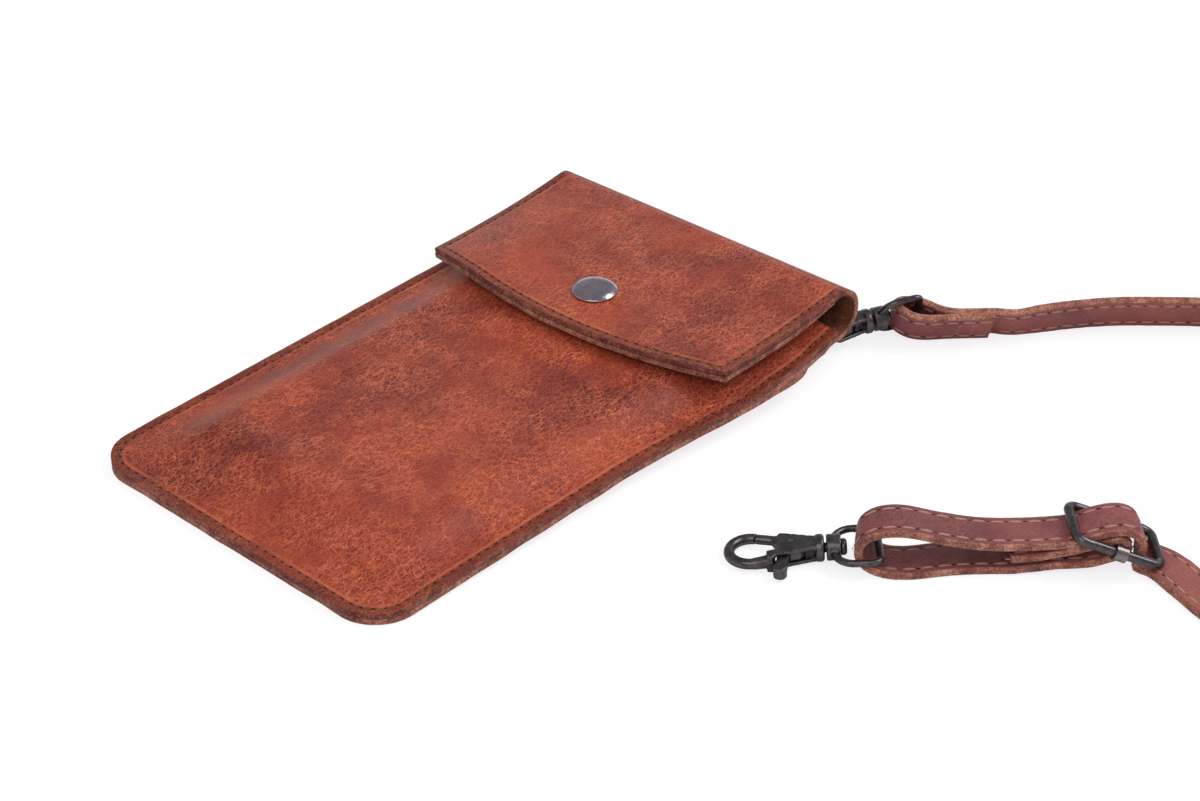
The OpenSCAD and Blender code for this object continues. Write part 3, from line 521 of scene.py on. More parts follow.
# %% The stops from the coil to the strap's end
back_lead = [((240.5, 98.4, 6.1), upright), ((249, 97.5, 6.1), upright), ((255, 91, 6.1), upright),
    ((257, 81, 6.1), upright), ((254.5, 69, 6.1), upright), ((246.5, 59.5, 6.1), upright),
    ((235, 54, 6.1), upright), ((221, 52.5, 6), (0, 0.15, 1)), ((208, 54.5, 5.6), (0.1, 0.5, 0.9)),
    ((197, 57.5, 4.2), (0.15, 0.85, 0.5)), ((186, 60.3, 1.5), (0.28, 0.96, 0.05)),
    ((178.5, 62.7, 1.2), (0.28, 0.96, 0))]
low = 1.15
adjuster = [(74, low, -9.4, -64), (72.1, low, -5.7, -59), (69.7, low, -2.4, -45),
    (66.9, low, -0.3, -31), (65.4, 1.6, 0, -24), (64.5, 3, 0, -18), (64.2, 4.9, 0, -12),
    (64.2, 7, 0, -4), (63.8, 9.2, 0, 0), (62.4, 11.3, 0, 0), (60.3, 12.4, 0, 0), (57.5, 12.6, 0, 0),
    (54.4, 12, 0, 0), (51, 10.8, 0, 0), (47.2, 9.2, 0, 0), (43, 8.6, 0, 0), (38, 8.2, 0, 0),
    (33, 8.05, 0, 0), (28, 8.05, 0, 0), (22, 8.55, 0, 0), (18, 9.25, 0, 0), (14, 10.05, 0, 0),
    (10, 11.05, 0, 0), (6, 11.85, 0, -3), (2.5, 11.95, 0, -6), (-0.8, 11.35, 0, -8),
    (-3.4, 9.9, 0, -10), (-4.7, 7.9, 0, -10), (-4.75, 5.6, 0, -10), (-3.7, 3.4, -0.3, -10),
    (-1.5, 1.9, -0.9, -10), (1.5, low, -1.7, -8), (5, low, -2.4, -4), (9, low, -2.1, 0),
    (14, low, -1.1, 0), (20, low, -0.3, 0), (26, low, 0, 0), (32, 1.3, 0, 0), (38, 1.9, 0, 0),
    (43, 2.6, 0, 0), (48, 2.9, 0, 0), (52, 3.3, 0, 0), (55.3, 4.4, 0, 0)]
bight_s, bight_z, bight_r = 57.9, 7.8, 2.5
bight_turns = [math.radians(a) for a in range(-90, 121, 30)]
adjuster += [(bight_s + bight_r * math.cos(a), bight_z + bight_r * math.sin(a), 0, 0)
    for a in bight_turns]
adjuster += [(54.4, 9.2, 0, 0), (51, 8.2, 0, 0), (47, 6.95, 0, 0), (43, 6.1, 0, 0), (39, 5.2, 0, 0),
    (35, 4.7, 0, 0), (31.8, 4.5, 0, 0)]
clasp_b_bar, adjuster_heading = (114, 18.8), 45
adjuster_places = [(s, across, z) for s, z, across, turned in adjuster]
adjuster_at = on_line(clasp_b_bar, adjuster_heading, adjuster_places)
adjuster_width = [math.radians(adjuster_heading + turned) for s, z, across, turned in adjuster]
stops = (end_loop + lead + [(p, upright) for p in coil] + back_lead
    + [(p, (-math.sin(w), math.cos(w), 0)) for p, w in zip(adjuster_at, adjuster_width)])
stops = [(Vector(p), Vector(w).normalized()) for p, w in stops]
straight = sum((b[0] - a[0]).length for a, b in zip(stops, stops[1:]))
print(len(stops), "stops, strap length", round(straight), "mm")

# %% [markdown]
# ## A smooth line through the stops
#
# A curve that passes through its points and allows for their uneven distances keeps
# the small bends small. Each piece of it becomes a few rings, about 1.3 mm apart.

# %% Rings along a route
def rings_along(stops, spacing):
    points = [p for p, w in stops]
    gaps = [(b - a).length for a, b in zip(points, points[1:])]
    slopes = [(points[1] - points[0]) / gaps[0]]
    for i in range(1, len(points) - 1):
        before = (points[i] - points[i - 1]) / gaps[i - 1]
        after = (points[i + 1] - points[i]) / gaps[i]
        slopes.append((before * gaps[i] + after * gaps[i - 1]) / (gaps[i] + gaps[i - 1]))
    slopes.append((points[-1] - points[-2]) / gaps[-1])
    rings = []
    for i, gap in enumerate(gaps):
        parts = max(1, round(gap / spacing))
        for k in range(parts + (i == len(gaps) - 1)):
            t = k / parts
            place = (points[i] * (2 * t**3 - 3 * t**2 + 1) + points[i + 1] * (3 * t**2 - 2 * t**3)
                + slopes[i] * gap * (t**3 - 2 * t**2 + t) + slopes[i + 1] * gap * (t**3 - t**2))
            rings.append((place, stops[i][1].lerp(stops[i + 1][1], t).normalized()))
    return rings


def frames_along(rings):
    made = []
    for i, (place, width) in enumerate(rings):
        along = (rings[min(i + 1, len(rings) - 1)][0] - rings[max(i - 1, 0)][0]).normalized()
        made.append((place, along, width, along.cross(width).normalized()))
    return made


strap_ring_gap = 1.3
strap_rings = frames_along(rings_along(stops, strap_ring_gap))
print(len(strap_rings), "rings on the strap")

# %% [markdown]
# ## A band from a grid
#
# The band's cross-section goes round both faces and both edges. A grid has the right
# pattern of faces already: its columns become the rings, and its rows go round the section.
# The last row lands on the first one, so merging doubles closes the tube. A shallow
# groove lies under each row of stitches, and a nick in each edge shows the two layers.

# %% Sweep a band
edge_points, edge_lip, nick_half, nick_depth, seam_half = 5, 0.03, 0.18, 0.16, 0.55


def band_section(width, thickness, corner, seam, groove):
    half, t = width / 2, thickness / 2
    face = [half - corner, seam + seam_half, seam, seam - seam_half, seam * 0.5, 0]
    rise = [0, -0.02, -groove, 0.02, 0.06, 0.08]
    top = [(a, t + r) for a, r in zip(face, rise)]
    top += [(-a, b) for a, b in top[-2::-1]]
    nick = [(edge_lip - half, nick_half), (nick_depth - half, 0), (edge_lip - half, -nick_half)]
    edge = [(-half, t - corner)] + nick + [(-half, corner - t)]
    bottom = [(a, -b) for a, b in top[::-1]]
    return top + edge + bottom + [(-a, -b) for a, b in edge], len(top)


def sweep(rings, section, face_points, raggedness):
    count = len(section)
    bm = bmesh.new()
    bmesh.ops.create_grid(bm, x_segments=len(rings) - 1, y_segments=count, size=1)
    for face in bm.faces:
        k = int((face.calc_center_median().y + 1) / 2 * count)
        below = k - face_points - edge_points
        face.material_index = 0 if k < face_points - 1 or 0 <= below < face_points - 1 else 1
    for v in bm.verts:
        i = round((v.co.x + 1) / 2 * (len(rings) - 1))
        k = round((v.co.y + 1) / 2 * count) % count
        place, along, width, out = rings[i]
        a, b = section[k]
        rough = noise.noise(place * 0.35 + out * (9 if a > 0 else 3)) * raggedness
        v.co = place + width * (a + math.copysign(rough, a)) + out * b
    bmesh.ops.remove_doubles(bm, verts=bm.verts, dist=1e-5)
    bmesh.ops.holes_fill(bm, edges=[e for e in bm.edges if e.is_boundary], sides=0)
    bmesh.ops.recalc_face_normals(bm, faces=bm.faces)
    return bm


strap_w, strap_t, strap_corner, strap_seam, strap_groove = 12, 2.1, 0.35, 4.0, 0.16
strap_section, strap_face_points = band_section(strap_w, strap_t, strap_corner, strap_seam,
    strap_groove)
strap_mesh = sweep(strap_rings, strap_section, strap_face_points, 0.22)
print("strap section has", len(strap_section), "points")

# %% [markdown]
# ## Stitches
#
# A stitch that goes into the leather at both ends looks like a stretched drop. A sphere of
# a few faces, stretched along the seam, is enough, and there are more than a thousand.
# A flat dark one between two stitches is painted shade in the hole that the needle left. A kind of
# stitching is its pitch, and then the length, width and height of its stitch and of its hole.

# %% Sew along a line
def bead_mesh(index):
    bm = bmesh.new()
    bmesh.ops.create_uvsphere(bm, u_segments=6, v_segments=4, radius=0.5)
    for face in bm.faces:
        face.material_index = index
    mesh = bpy.data.meshes.new("bead")
    bm.to_mesh(mesh)
    bm.free()
    return mesh


def set_beads(bm, places, index):
    for place, along, out, size in places:
        side = along.cross(out).normalized()
        shape = Matrix((side * size[1], out * size[2], along * size[0])).transposed().to_4x4()
        one = beads[index].copy()
        one.transform(Matrix.Translation(place) @ shape)
        bm.from_mesh(one)
        bpy.data.meshes.remove(one)


def sew(bm, seam, pitch, stitch, hole, first_index):
    travelled, due, stitches, holes = 0.0, pitch / 2, [], []
    for (a, along, out), (b, along_b, out_b) in zip(seam, seam[1:]):
        gap = (b - a).length
        while travelled + gap >= due and gap > 0:
            t = (due - travelled) / gap
            way, up = along.lerp(along_b, t).normalized(), out.lerp(out_b, t).normalized()
            place = a.lerp(b, t)
            stitches.append((place, way, up, stitch))
            holes.append((place + way * pitch / 2, way, up, hole))
            due += pitch
        travelled += gap
    set_beads(bm, stitches, first_index)
    set_beads(bm, holes, first_index + 1)
    return len(stitches)


def join(bm, other):
    mesh = bpy.data.meshes.new("joined")
    other.to_mesh(mesh)
    other.free()
    bm.from_mesh(mesh)
    bpy.data.meshes.remove(mesh)


beads = {index: bead_mesh(index) for index in range(4)}
strap_stitching = (4.6, (3.6, 0.95, 0.55), (0.9, 0.6, 0.16))
strap_seam_z = strap_t / 2 - 0.10
strap_sewing = bmesh.new()
sewn = 0
for side in (-1, 1):
    for face in (-1, 1):
        seam = [(p + w * strap_seam * side + out * strap_seam_z * face, along, out * face)
            for p, along, w, out in strap_rings]
        sewn += sew(strap_sewing, seam, *strap_stitching, 2)
print("stitches on the strap:", sewn)

# %% [markdown]
# Two short rows across the tail hold the end loop together.

# %% The tail's cross rows and the finished strap
tail_stitching = (2.2, (1.8, 0.7, 0.40), (0.6, 0.6, 0.14))
tail_row_z, tail_row = strap_t / 2 - 0.05, (-3.6, -1.2, 1.2, 3.6)


def from_tail(ring):
    return (ring[0] - strap_rings[0][0]).length


for reach in (4.8, 9.2):
    p, along, w, out = min(strap_rings[:30], key=lambda ring: abs(from_tail(ring) - reach))
    for face in (-1, 1):
        row = [(p + w * a + out * tail_row_z * face, w, out * face) for a in tail_row]
        sew(strap_sewing, row, *tail_stitching, 2)
join(strap_mesh, strap_sewing)
strap_finishes = [strap_leather, strap_edge, strap_thread, hole_shade]
strap = piece("strap", strap_mesh, table_frame, strap_finishes, "pouch",
    ["strap_end_loop", "strap_lead", "strap_coil", "strap_return", "strap_adjuster"])

# %% [markdown]
# ## The outline of the pouch
#
# The pouch is a rectangle with two round corners, and its right side has spread a little near
# the mouth, as worn leather does. Everything on it is placed by these few functions, which
# are the construction model's own.

# %% Plan of the pouch
pouch_l, pouch_w, corner_r, leather_t, play = 173, 104, 12, 1.6, 0.05
margin_w, crown_run, flare_w = 4, 16, 4
mouth_y, back_end_y, yoke_start_y, snap_y = 170, 159, 146, 131.8
skive_y = 0.88 * yoke_start_y


def corner_in(y):
    return 0 if y >= corner_r else corner_r - math.sqrt(max(0, corner_r**2 - (corner_r - y) ** 2))


def flare_at(y):
    start, full, end = pouch_l * 0.48, pouch_l * 0.85, pouch_l * 1.02
    if y < full:
        return flare_w * smooth((y - start) / (full - start))
    return flare_w * (1 - 0.8 * smooth((y - full) / (end - full)))


def left_x(y):
    return corner_in(y) - pouch_w / 2


def right_x(y):
    return pouch_w / 2 - corner_in(y) + flare_at(y)


def to_border(x, y):
    if y < corner_r and abs(x) > pouch_w / 2 - corner_r:
        return corner_r - math.hypot(abs(x) - pouch_w / 2 + corner_r, corner_r - y)
    return min(right_x(y) - x if x > 0 else x - left_x(y), y)


print("width at the snap:", round(right_x(snap_y) - left_x(snap_y), 1), "mm")

# %% [markdown]
# The front rises from its flat margin to a crown, because the pocket under it has room for
# a phone. The seam pulls a narrow groove into it. A slow noise makes the surface
# wander by a few tenths of a millimetre, as leather that has been carried does.

# %% Height of the front
pocket_z, mouth_rise, mouth_lip = 5.3, 0.7, 0.5
seam_in, groove_half_w, front_groove, front_wander = 2.4, 0.6, 0.30, 0.22


def base_z(y):
    yoke = leather_t * smooth((y - skive_y) / (yoke_start_y - skive_y))
    lip = mouth_lip * smooth((y - yoke_start_y) / (mouth_y - yoke_start_y))
    return leather_t + play + yoke + lip


def middle_z(y):
    return leather_t + play + pocket_z + mouth_rise * smooth((y - snap_y - 5) / 8)


def seam_groove(depth):
    return math.exp(-(((depth - seam_in) / groove_half_w) ** 2))


def front_top(x, y):
    side = right_x(y) - x if x > 0 else x - left_x(y)
    rise = smooth((side - margin_w) / crown_run) * smooth((y - margin_w) / (1.5 * crown_run))
    crown = (middle_z(y) - base_z(y)) * rise
    depth = to_border(x, y)
    calm = smooth(depth / 12) * smooth((118 - y) / 12)
    wander = front_wander * noise.noise(Vector((x, y, 5)) * 0.045) * calm
    return base_z(y) + leather_t + crown - front_groove * seam_groove(depth) + wander


print("top of the front at the snap:", round(front_top(0, snap_y), 2), "mm")

# %% [markdown]
# ## Leather panels from grids
#
# A panel is a grid whose points are moved to their places, then given its thickness. We
# extrude all its faces at once, move the copy inwards along the normals, and round
# the two long edges with a bevel. The walls between the copies get the raw edge material.
# The thickness is a number, or a function of the place where an end is pared thin. The
# columns lie closer together towards the sides, and the distance to the border is stored on
# the points, for the burnish.

# %% Make a panel
even, crowded, round_off = 0.55, 0.45, 0.28


def panel(columns, rows, place, thickness, reach, keep_sharp=lambda x, y, z: False):
    bm = bmesh.new()
    edge_mm = bm.verts.layers.float.new("edge_mm")
    bmesh.ops.create_grid(bm, x_segments=columns, y_segments=len(rows) - 1, size=1)
    for v in bm.verts:
        u = even * v.co.x + crowded * math.sin(math.pi / 2 * v.co.x)
        row = rows[round((v.co.y + 1) / 2 * (len(rows) - 1))]
        v.co = place(u, row)
        v[edge_mm] = reach(v.co)
    bm.normal_update()
    outer = set(bm.faces)
    made = bmesh.ops.extrude_face_region(bm, geom=bm.faces[:], use_keep_orig=True)
    copied = {g for g in made["geom"] if isinstance(g, bmesh.types.BMFace)}
    moved = {g for g in made["geom"] if isinstance(g, bmesh.types.BMVert)}
    normals = {v: sum((f.normal for f in v.link_faces if f in copied), Vector()) for v in moved}
    for v in moved:
        v.co -= normals[v].normalized() * (thickness(v.co) if callable(thickness) else thickness)
    for f in bm.faces:
        f.material_index = 0 if f in outer else 2 if f in copied else 1
    bmesh.ops.recalc_face_normals(bm, faces=bm.faces)
    rims = [e for e in bm.edges if len({f.material_index == 1 for f in e.link_faces}) == 2
        and not keep_sharp(*((e.verts[0].co + e.verts[1].co) / 2))]
    bmesh.ops.bevel(bm, geom=rims, offset=round_off, offset_type="OFFSET", segments=2, profile=0.5,
        affect="EDGES", clamp_overlap=True, material=-1)
    return bm


cut_wander, ragged_end_y = 0.22, 6


def uneven(place, sign, seed):
    return sign * cut_wander * noise.noise(Vector((place * 0.11, seed, 0.0)))


def side_wander(u, x, y, seed):
    return abs(u) ** 8 * uneven(y, math.copysign(1, x), seed)


corner_rows = [corner_r * (1 - math.cos(math.pi / 2 * i / 14)) for i in range(14)]
front_rows = corner_rows + [lerp(corner_r, mouth_y, i / 100) for i in range(101)]


def front_place(u, y):
    x = -u * left_x(y) if u < 0 else u * right_x(y)
    z = front_top(x, y)
    x += side_wander(u, x, y, 1)
    return Vector((x, y + (uneven(x, -1, 2) if y < ragged_end_y else 0), z))


def pouch_reach(p):
    return to_border(p.x, p.y)


piece("front_leather", panel(84, front_rows, front_place, leather_t, pouch_reach), pouch_frame,
    [pouch_leather, waxed_edge, suede], "pouch", ["front_panel"])

# %% [markdown]
# The back panel is flat, and lies with its good side down. Its cut edge shows below the
# front's, and never follows it exactly. Its corners behind the fold are cut round.

# %% The back panel
back_rows = corner_rows + [lerp(corner_r, back_end_y, i / 70) for i in range(71)]
back_round_y, back_round_l, back_round_in = 151, 8.01, 0.07


def underside(u, y):
    x = u * left_x(y) if u > 0 else -u * right_x(y)
    past = min(1, max(0, (y - back_round_y) / back_round_l))
    x *= 1 - back_round_in * (1 - math.sqrt(1 - past**2))
    end = uneven(x, -1, 8) if y < ragged_end_y else 0
    return Vector((x + side_wander(u, x, y, 7), y + end, 0.0))


piece("back_leather", panel(60, back_rows, underside, leather_t, pouch_reach), pouch_frame,
    [pouch_leather, raw_edge, suede], "pouch", ["back_panel"])

# %% [markdown]
# ## The flap and its fold
#
# One strip of leather makes the yoke inside the back, the fold and the flap. The flap turns on the
# fold, so it is made as two pieces that meet edge to edge on the bend: the flap rides its own body,
# and the fold rides none and has its place baked into its points. Both come from the same function
# of place, so the join has no step.

# %% Shape of the flap
flap_w, fold_r, fold_squash, flap_corner_y, flap_sagitta, flap_skew = 103, 7.7, 1.8, 126, 9.5, 3.8
flap_front_y = flap_corner_y - flap_sagitta
edge_arc_r = ((flap_w / 2) ** 2 + flap_sagitta**2) / (2 * flap_sagitta)
flap_top_z, flap_lip, flap_groove, flap_wander = 12.95, 0.3, 0.26, 0.25
droop_z, droop_x, droop_run = 3.6, 27, 24.5


def fold_r_at(x):
    return fold_r - fold_squash * (flap_w / 2 - x) / flap_w


def flap_edge_y(x):
    skew = flap_skew * (flap_w / 2 - x) / flap_w
    return flap_front_y + edge_arc_r - math.sqrt(edge_arc_r**2 - x * x) - skew


def flap_z(x, y):
    z = flap_top_z - droop_z * (max(0, -x - droop_x) / droop_run) ** 2
    if y > snap_y:
        return z + (2 * fold_r_at(x) - z) * ((y - snap_y) / (pouch_l - snap_y)) ** 2.2
    return z + flap_lip * ((snap_y - y) / (snap_y - flap_front_y)) ** 2


def to_flap_border(x, y):
    return max(0, min(flap_w / 2 - abs(x), y - flap_edge_y(x)))


def flap_top(x, y, groove=flap_groove):
    depth = to_flap_border(x, y)
    calm = smooth((math.hypot(x, y - snap_y) - 6) / 8)
    wander = flap_wander * noise.noise(Vector((x, y, 2)) * 0.05)
    wander *= smooth(depth / 10) * smooth((168 - y) / 10)
    return flap_z(x, y) - groove * seam_groove(depth) + max(0, wander) * calm


print("flap reaches down to", round(flap_edge_y(-flap_w / 2), 1), "mm on its left side")

# %% [markdown]
# The rows run up the flap, over the bend, and down to the yoke, whose inner end is pared thin.
# The fold's piece starts just past the top of the bend, and is given two points on its middle,
# below and above the fold's centre.

# %% The flap and the fold
fold_y, join_angle, skived_share = pouch_l + play, 76, 0.04


def yoke_mid(y):
    inside, outside = back_end_y + leather_t, pouch_l
    down = smooth((y - inside) / (outside - inside))
    return lerp(1.5 * leather_t + play, leather_t / 2, down)


def flap_place(u, row):
    kind, value = row
    x = u * flap_w / 2
    if kind == "flap":
        y = lerp(flap_edge_y(x), fold_y, value)
        x += side_wander(u, x, y, 4) * smooth((160 - y) / 10)
        return Vector((x, y + (uneven(x, 1, 5) if value == 0 else 0), flap_top(x, y)))
    if kind == "bend":
        r, a = fold_r_at(x), math.radians(value)
        return Vector((x, fold_y + r * math.cos(a), r + r * math.sin(a)))
    side = right_x(value) if u > 0 else -left_x(value)
    x = u * lerp(flap_w / 2, side, smooth((pouch_l - 1 - value) / 9))
    return Vector((x, value, yoke_mid(value) - leather_t / 2))


def closer_at_edge(steps, rows, first):
    return [(i / steps) * lerp(first, 1, i / steps) for i in range(rows)]


flap_rows = [("flap", f) for f in closer_at_edge(60, 60, 0.55)]
flap_rows += [("bend", a) for a in (90, 83, join_angle)]
fold_rows = [("bend", lerp(join_angle, -90, i / 30)) for i in range(31)]
fold_rows += [("yoke", lerp(fold_y, skive_y, i / 24)) for i in range(1, 25)]


def fold_thickness(p):
    return leather_t * max(skived_share, smooth((p.y - skive_y) / (yoke_start_y - skive_y)))


fold_mid_r = 6.8
join_y = fold_y + fold_mid_r * math.cos(math.radians(join_angle))


def at_join(x, y, z):
    return y > join_y - 1.2 and z > 9


def flap_reach(p):
    return flap_w / 2 - abs(p.x) if p.y > snap_y + 20 else to_flap_border(p.x, p.y)


def fold_reach(p):
    return flap_w / 2 - abs(p.x)


fold_start = tuple(in_pouch(0, 176, fold_mid_r / 2))
fold_end = tuple(in_pouch(0, 176, 10.8))
piece("flap_leather", panel(72, flap_rows, flap_place, leather_t, flap_reach, at_join), pouch_frame,
    [pouch_leather, waxed_edge, suede], "flap", ["flap_panel"])
piece("fold_leather", panel(72, fold_rows, flap_place, fold_thickness, fold_reach, at_join),
    pouch_frame, [pouch_leather, raw_edge, suede], None,
    ["flap_fold", "flap_yoke"], ("pouch", "flap", fold_start, fold_end))

# %% [markdown]
# The lining lies under the flap, to the same curved outline. The socket of the snap goes
# through it, so it gets a round hole: the faces over the hole are deleted, and the points
# left round it are drawn onto a circle. Its hidden end is pared thin under the fold.

# %% The lining
lining_end_y, lining_play, lining_pared_y, socket_r = 170.3, 0.08, 157, 3.6


def lining_place(u, value):
    x = u * flap_w / 2
    y = lerp(flap_edge_y(x), lining_end_y, value)
    x += side_wander(u, x, y, 11)
    end = uneven(x, 1, 12) if value == 0 else 0
    return Vector((x, y + end, flap_top(x, y, 0.0) - leather_t - lining_play))


def lining_thickness(p):
    return leather_t * lerp(1, 0.3, smooth((p.y - lining_pared_y) / 13))


def over_socket(face):
    middle = face.calc_center_median()
    return math.hypot(middle.x, middle.y - snap_y) < socket_r


lining_rows = closer_at_edge(50, 51, 0.7)
lining_mesh = panel(72, lining_rows, lining_place, lining_thickness, lambda p: 9.0)
bmesh.ops.delete(lining_mesh, geom=list(filter(over_socket, lining_mesh.faces)), context="FACES")
for v in {v for e in lining_mesh.edges if e.is_boundary for v in e.verts}:
    away = Vector((v.co.x, v.co.y - snap_y, 0)).normalized() * socket_r
    v.co = Vector((away.x, snap_y + away.y, v.co.z))
rings = [e for e in lining_mesh.edges if e.is_boundary]
bmesh.ops.bridge_loops(lining_mesh, edges=rings)
bmesh.ops.recalc_face_normals(lining_mesh, faces=lining_mesh.faces)
piece("lining_leather", lining_mesh, pouch_frame, [suede, raw_edge, suede], "flap",
    ["flap_lining"])

# %% [markdown]
# ## The seams
#
# The seam follows the border at a fixed distance. A list of points along it, with the
# direction of the thread and the way out of the leather, here straight up, is all that
# sewing needs.

# %% Sew the pouch and the flap
def seam_of(points, height):
    places = [Vector((x, y, height(x, y))) for x, y in points]
    ahead, behind = places[1:] + places[-1:], places[:1] + places[:-1]
    return [(p, (a - b).normalized(), upright) for p, a, b in zip(places, ahead, behind)]


pouch_stitching = (3.0, (1.9, 0.62, 0.36), (1.45, 0.80, 0.30))
seam_step, stitch_rise = 0.75, 0.02


def sew_on(name, body, line, surface):
    bm = bmesh.new()
    seam = seam_of(line, lambda x, y: surface(x, y) + stitch_rise)
    print("stitches in", name, sew(bm, seam, *pouch_stitching, 0))
    piece(name, bm, pouch_frame, [pouch_thread, hole_shade], body)


corner_x, arc_r = pouch_w / 2 - corner_r, corner_r - seam_in
side_ys = [corner_r + i * seam_step for i in range(1, 209)]
quarter = [math.pi / 2 * i / 24 for i in range(25)]
around = [(left_x(y) + seam_in, y) for y in reversed(side_ys)]
around += [(-corner_x - arc_r * math.cos(a), corner_r - arc_r * math.sin(a)) for a in quarter]
around += [(-corner_x + i, seam_in) for i in range(1, int(2 * corner_x))]
around += [(corner_x + arc_r * math.sin(a), corner_r - arc_r * math.cos(a)) for a in quarter]
around += [(right_x(y) - seam_in, y) for y in side_ys]
sew_on("pouch_seam", "pouch", around, front_top)

flap_side, flap_seam_y = flap_w / 2 - seam_in, 171
left_y, right_y = flap_edge_y(-flap_side) + seam_in, flap_edge_y(flap_side) + seam_in
left_steps = int((flap_seam_y - left_y) / seam_step)
flap_line = [(-flap_side, flap_seam_y - i * seam_step) for i in range(left_steps)]
across_xs = [-flap_side + i for i in range(int(2 * flap_side))]
flap_line += [(x, flap_edge_y(x) + seam_in) for x in across_xs]
right_ys = [right_y + i * seam_step for i in range(60)]
flap_line += [(flap_side, y) for y in right_ys if y < flap_seam_y + 1]
sew_on("flap_seam", "flap", flap_line, flap_top)

# %% [markdown]
# ## The snap's cap
#
# The cap is pressed from thin sheet and its rim is rolled under. Turning half of its profile
# round the axis gives the whole form, as the press tool does.

# %% Spin the cap
turn_steps = 72


def spun(profile, at):
    bm = bmesh.new()
    points = [bm.verts.new((r, 0, z)) for r, z in profile]
    lines = [bm.edges.new(pair) for pair in zip(points, points[1:])]
    bmesh.ops.spin(bm, geom=points + lines, cent=(0, 0, 0), axis=(0, 0, 1), angle=math.tau,
        steps=turn_steps, use_merge=True)
    bmesh.ops.remove_doubles(bm, verts=bm.verts, dist=1e-4)
    bmesh.ops.recalc_face_normals(bm, faces=bm.faces)
    bm.transform(Matrix.Translation(at))
    return bm


cap_profile = [(0, 1.9), (1.6, 1.88), (3.0, 1.81), (4.1, 1.68), (4.9, 1.47), (5.45, 1.2),
    (5.8, 0.92), (5.98, 0.80), (6.14, 0.70), (6.25, 0.48), (6.22, 0.22), (6.05, 0.06), (5.8, 0),
    (1.6, 0), (1.6, -1.5), (0, -1.5)]
piece("snap_cap_metal", spun(cap_profile, (0, snap_y, flap_top_z + play)), pouch_frame,
    [cap_metal], "flap", ["snap_cap"])

# %% [markdown]
# ## Hanger loops
#
# Two short strips are doubled over and sewn to the back, splayed outwards. Each is a band like
# the strap, so the same sweep makes it.

# %% The two loops
hanger_w, hanger_t, hanger_drop = 6, 1.3, 6.45
open_l, slope_l, sewn_l = 10.5, 8, 14
hanger_x, hanger_y, hanger_splay = 40, 172.95, 30
half_turn = [math.pi / 2 - math.pi * i / 12 for i in range(13)]


def hanger_line():
    top, low_top = -play - hanger_t / 2, -play - hanger_t / 2 - hanger_t - play
    r, slope_from = (hanger_drop - play) / 2, -open_l - slope_l
    line = [(slope_from - sewn_l, top), (slope_from, top)]
    line += [(-r + r * math.cos(a), top - r + r * math.sin(a)) for a in half_turn]
    open_z = top - 2 * r + open_l * math.sin(tilt)
    line += [(-open_l - slope_l * i / 8, lerp(open_z, low_top, smooth(i / 8))) for i in range(9)]
    return line + [(slope_from - sewn_l, low_top)]


hanger_section, hanger_face_points = band_section(hanger_w, hanger_t, 0.3, 1.4, 0.05)
for name, side in (("right", 1), ("left", -1)):
    turned = Matrix.Rotation(math.radians(-side * hanger_splay), 4, "Z")
    splay = Matrix.Translation((side * hanger_x, hanger_y, 0)) @ turned
    across = splay.to_3x3() @ Vector((1, 0, 0))
    line = [(splay @ Vector((0, s, z)), across) for s, z in hanger_line()]
    strip = sweep(frames_along(rings_along(line, 1.0)), hanger_section, hanger_face_points, 0.06)
    piece("hanger_strip_" + name, strip, pouch_frame, [pouch_leather, raw_edge], "pouch",
        ["hanger_loop_" + name])

# %% [markdown]
# ## Cast hardware
#
# Cast and tumbled parts have no crisp edges. A copy of each construction solid is rebuilt from
# small voxels and smoothed a little, which rounds every edge in the same way as the
# tumbler does. The slider's bent wire gets the same treatment.

# %% Soften the castings
casting_voxel, casting_passes = 0.00019, 6


def cast_copy(node):
    bm = bmesh.new()
    bm.from_mesh(cad[node].data)
    bmesh.ops.remove_doubles(bm, verts=bm.verts, dist=1e-7)
    mesh = bpy.data.meshes.new(node + "_voxels")
    bm.to_mesh(mesh)
    bm.free()
    made = bpy.data.objects.new(node + "_cast", mesh)
    bpy.context.scene.collection.objects.link(made)
    rebuild = made.modifiers.new("rebuild", "REMESH")
    rebuild.mode = "VOXEL"
    rebuild.voxel_size = casting_voxel
    soften = made.modifiers.new("soften", "SMOOTH")
    soften.factor = 0.5
    soften.iterations = casting_passes
    rounded = made.evaluated_get(bpy.context.evaluated_depsgraph_get())
    shaped = bpy.data.meshes.new_from_object(rounded)
    made.modifiers.clear()
    made.data = shaped
    shaped.materials.clear()
    shaped.materials.append(metal)
    shaped.polygons.foreach_set("use_smooth", [True] * len(shaped.polygons))
    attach(made, cad[node]["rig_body"])
    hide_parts(node)
    print(made.name, "has", len(shaped.polygons), "faces")
    return made


castings = ("clasp_a_hook", "clasp_a_lever", "clasp_a_eye", "clasp_b_hook", "clasp_b_lever",
    "clasp_b_eye", "slider_frame")
cast = {n: cast_copy(n) for n in castings}

# %% [markdown]
# The remaining metal nodes only change their finish. The slider and the second clasp hang on the
# strap, so their pieces are gathered in one list.

# %% Metal for the carried nodes
for name in ("clasp_a_pin", "clasp_b_pin", "slider_bar", "snap_stud", "snap_stud_eyelet",
        "snap_socket"):
    cad[name].data.materials.clear()
    cad[name].data.materials.append(metal)
on_strap = [cast[n] for n in ("clasp_b_eye", "slider_frame", "clasp_b_hook", "clasp_b_lever")]
on_strap += [cad["slider_bar"], cad["clasp_b_pin"]]
print("declaring the strap as a cord of", round(straight), "mm")

# %% [markdown]
# ## Floor and light
#
# The pouch lies on seamless white. To the camera the floor is mostly glow, a little stronger
# further away, and the rest is lit, so it keeps a faint shadow. To all other rays it is plain
# pale grey.

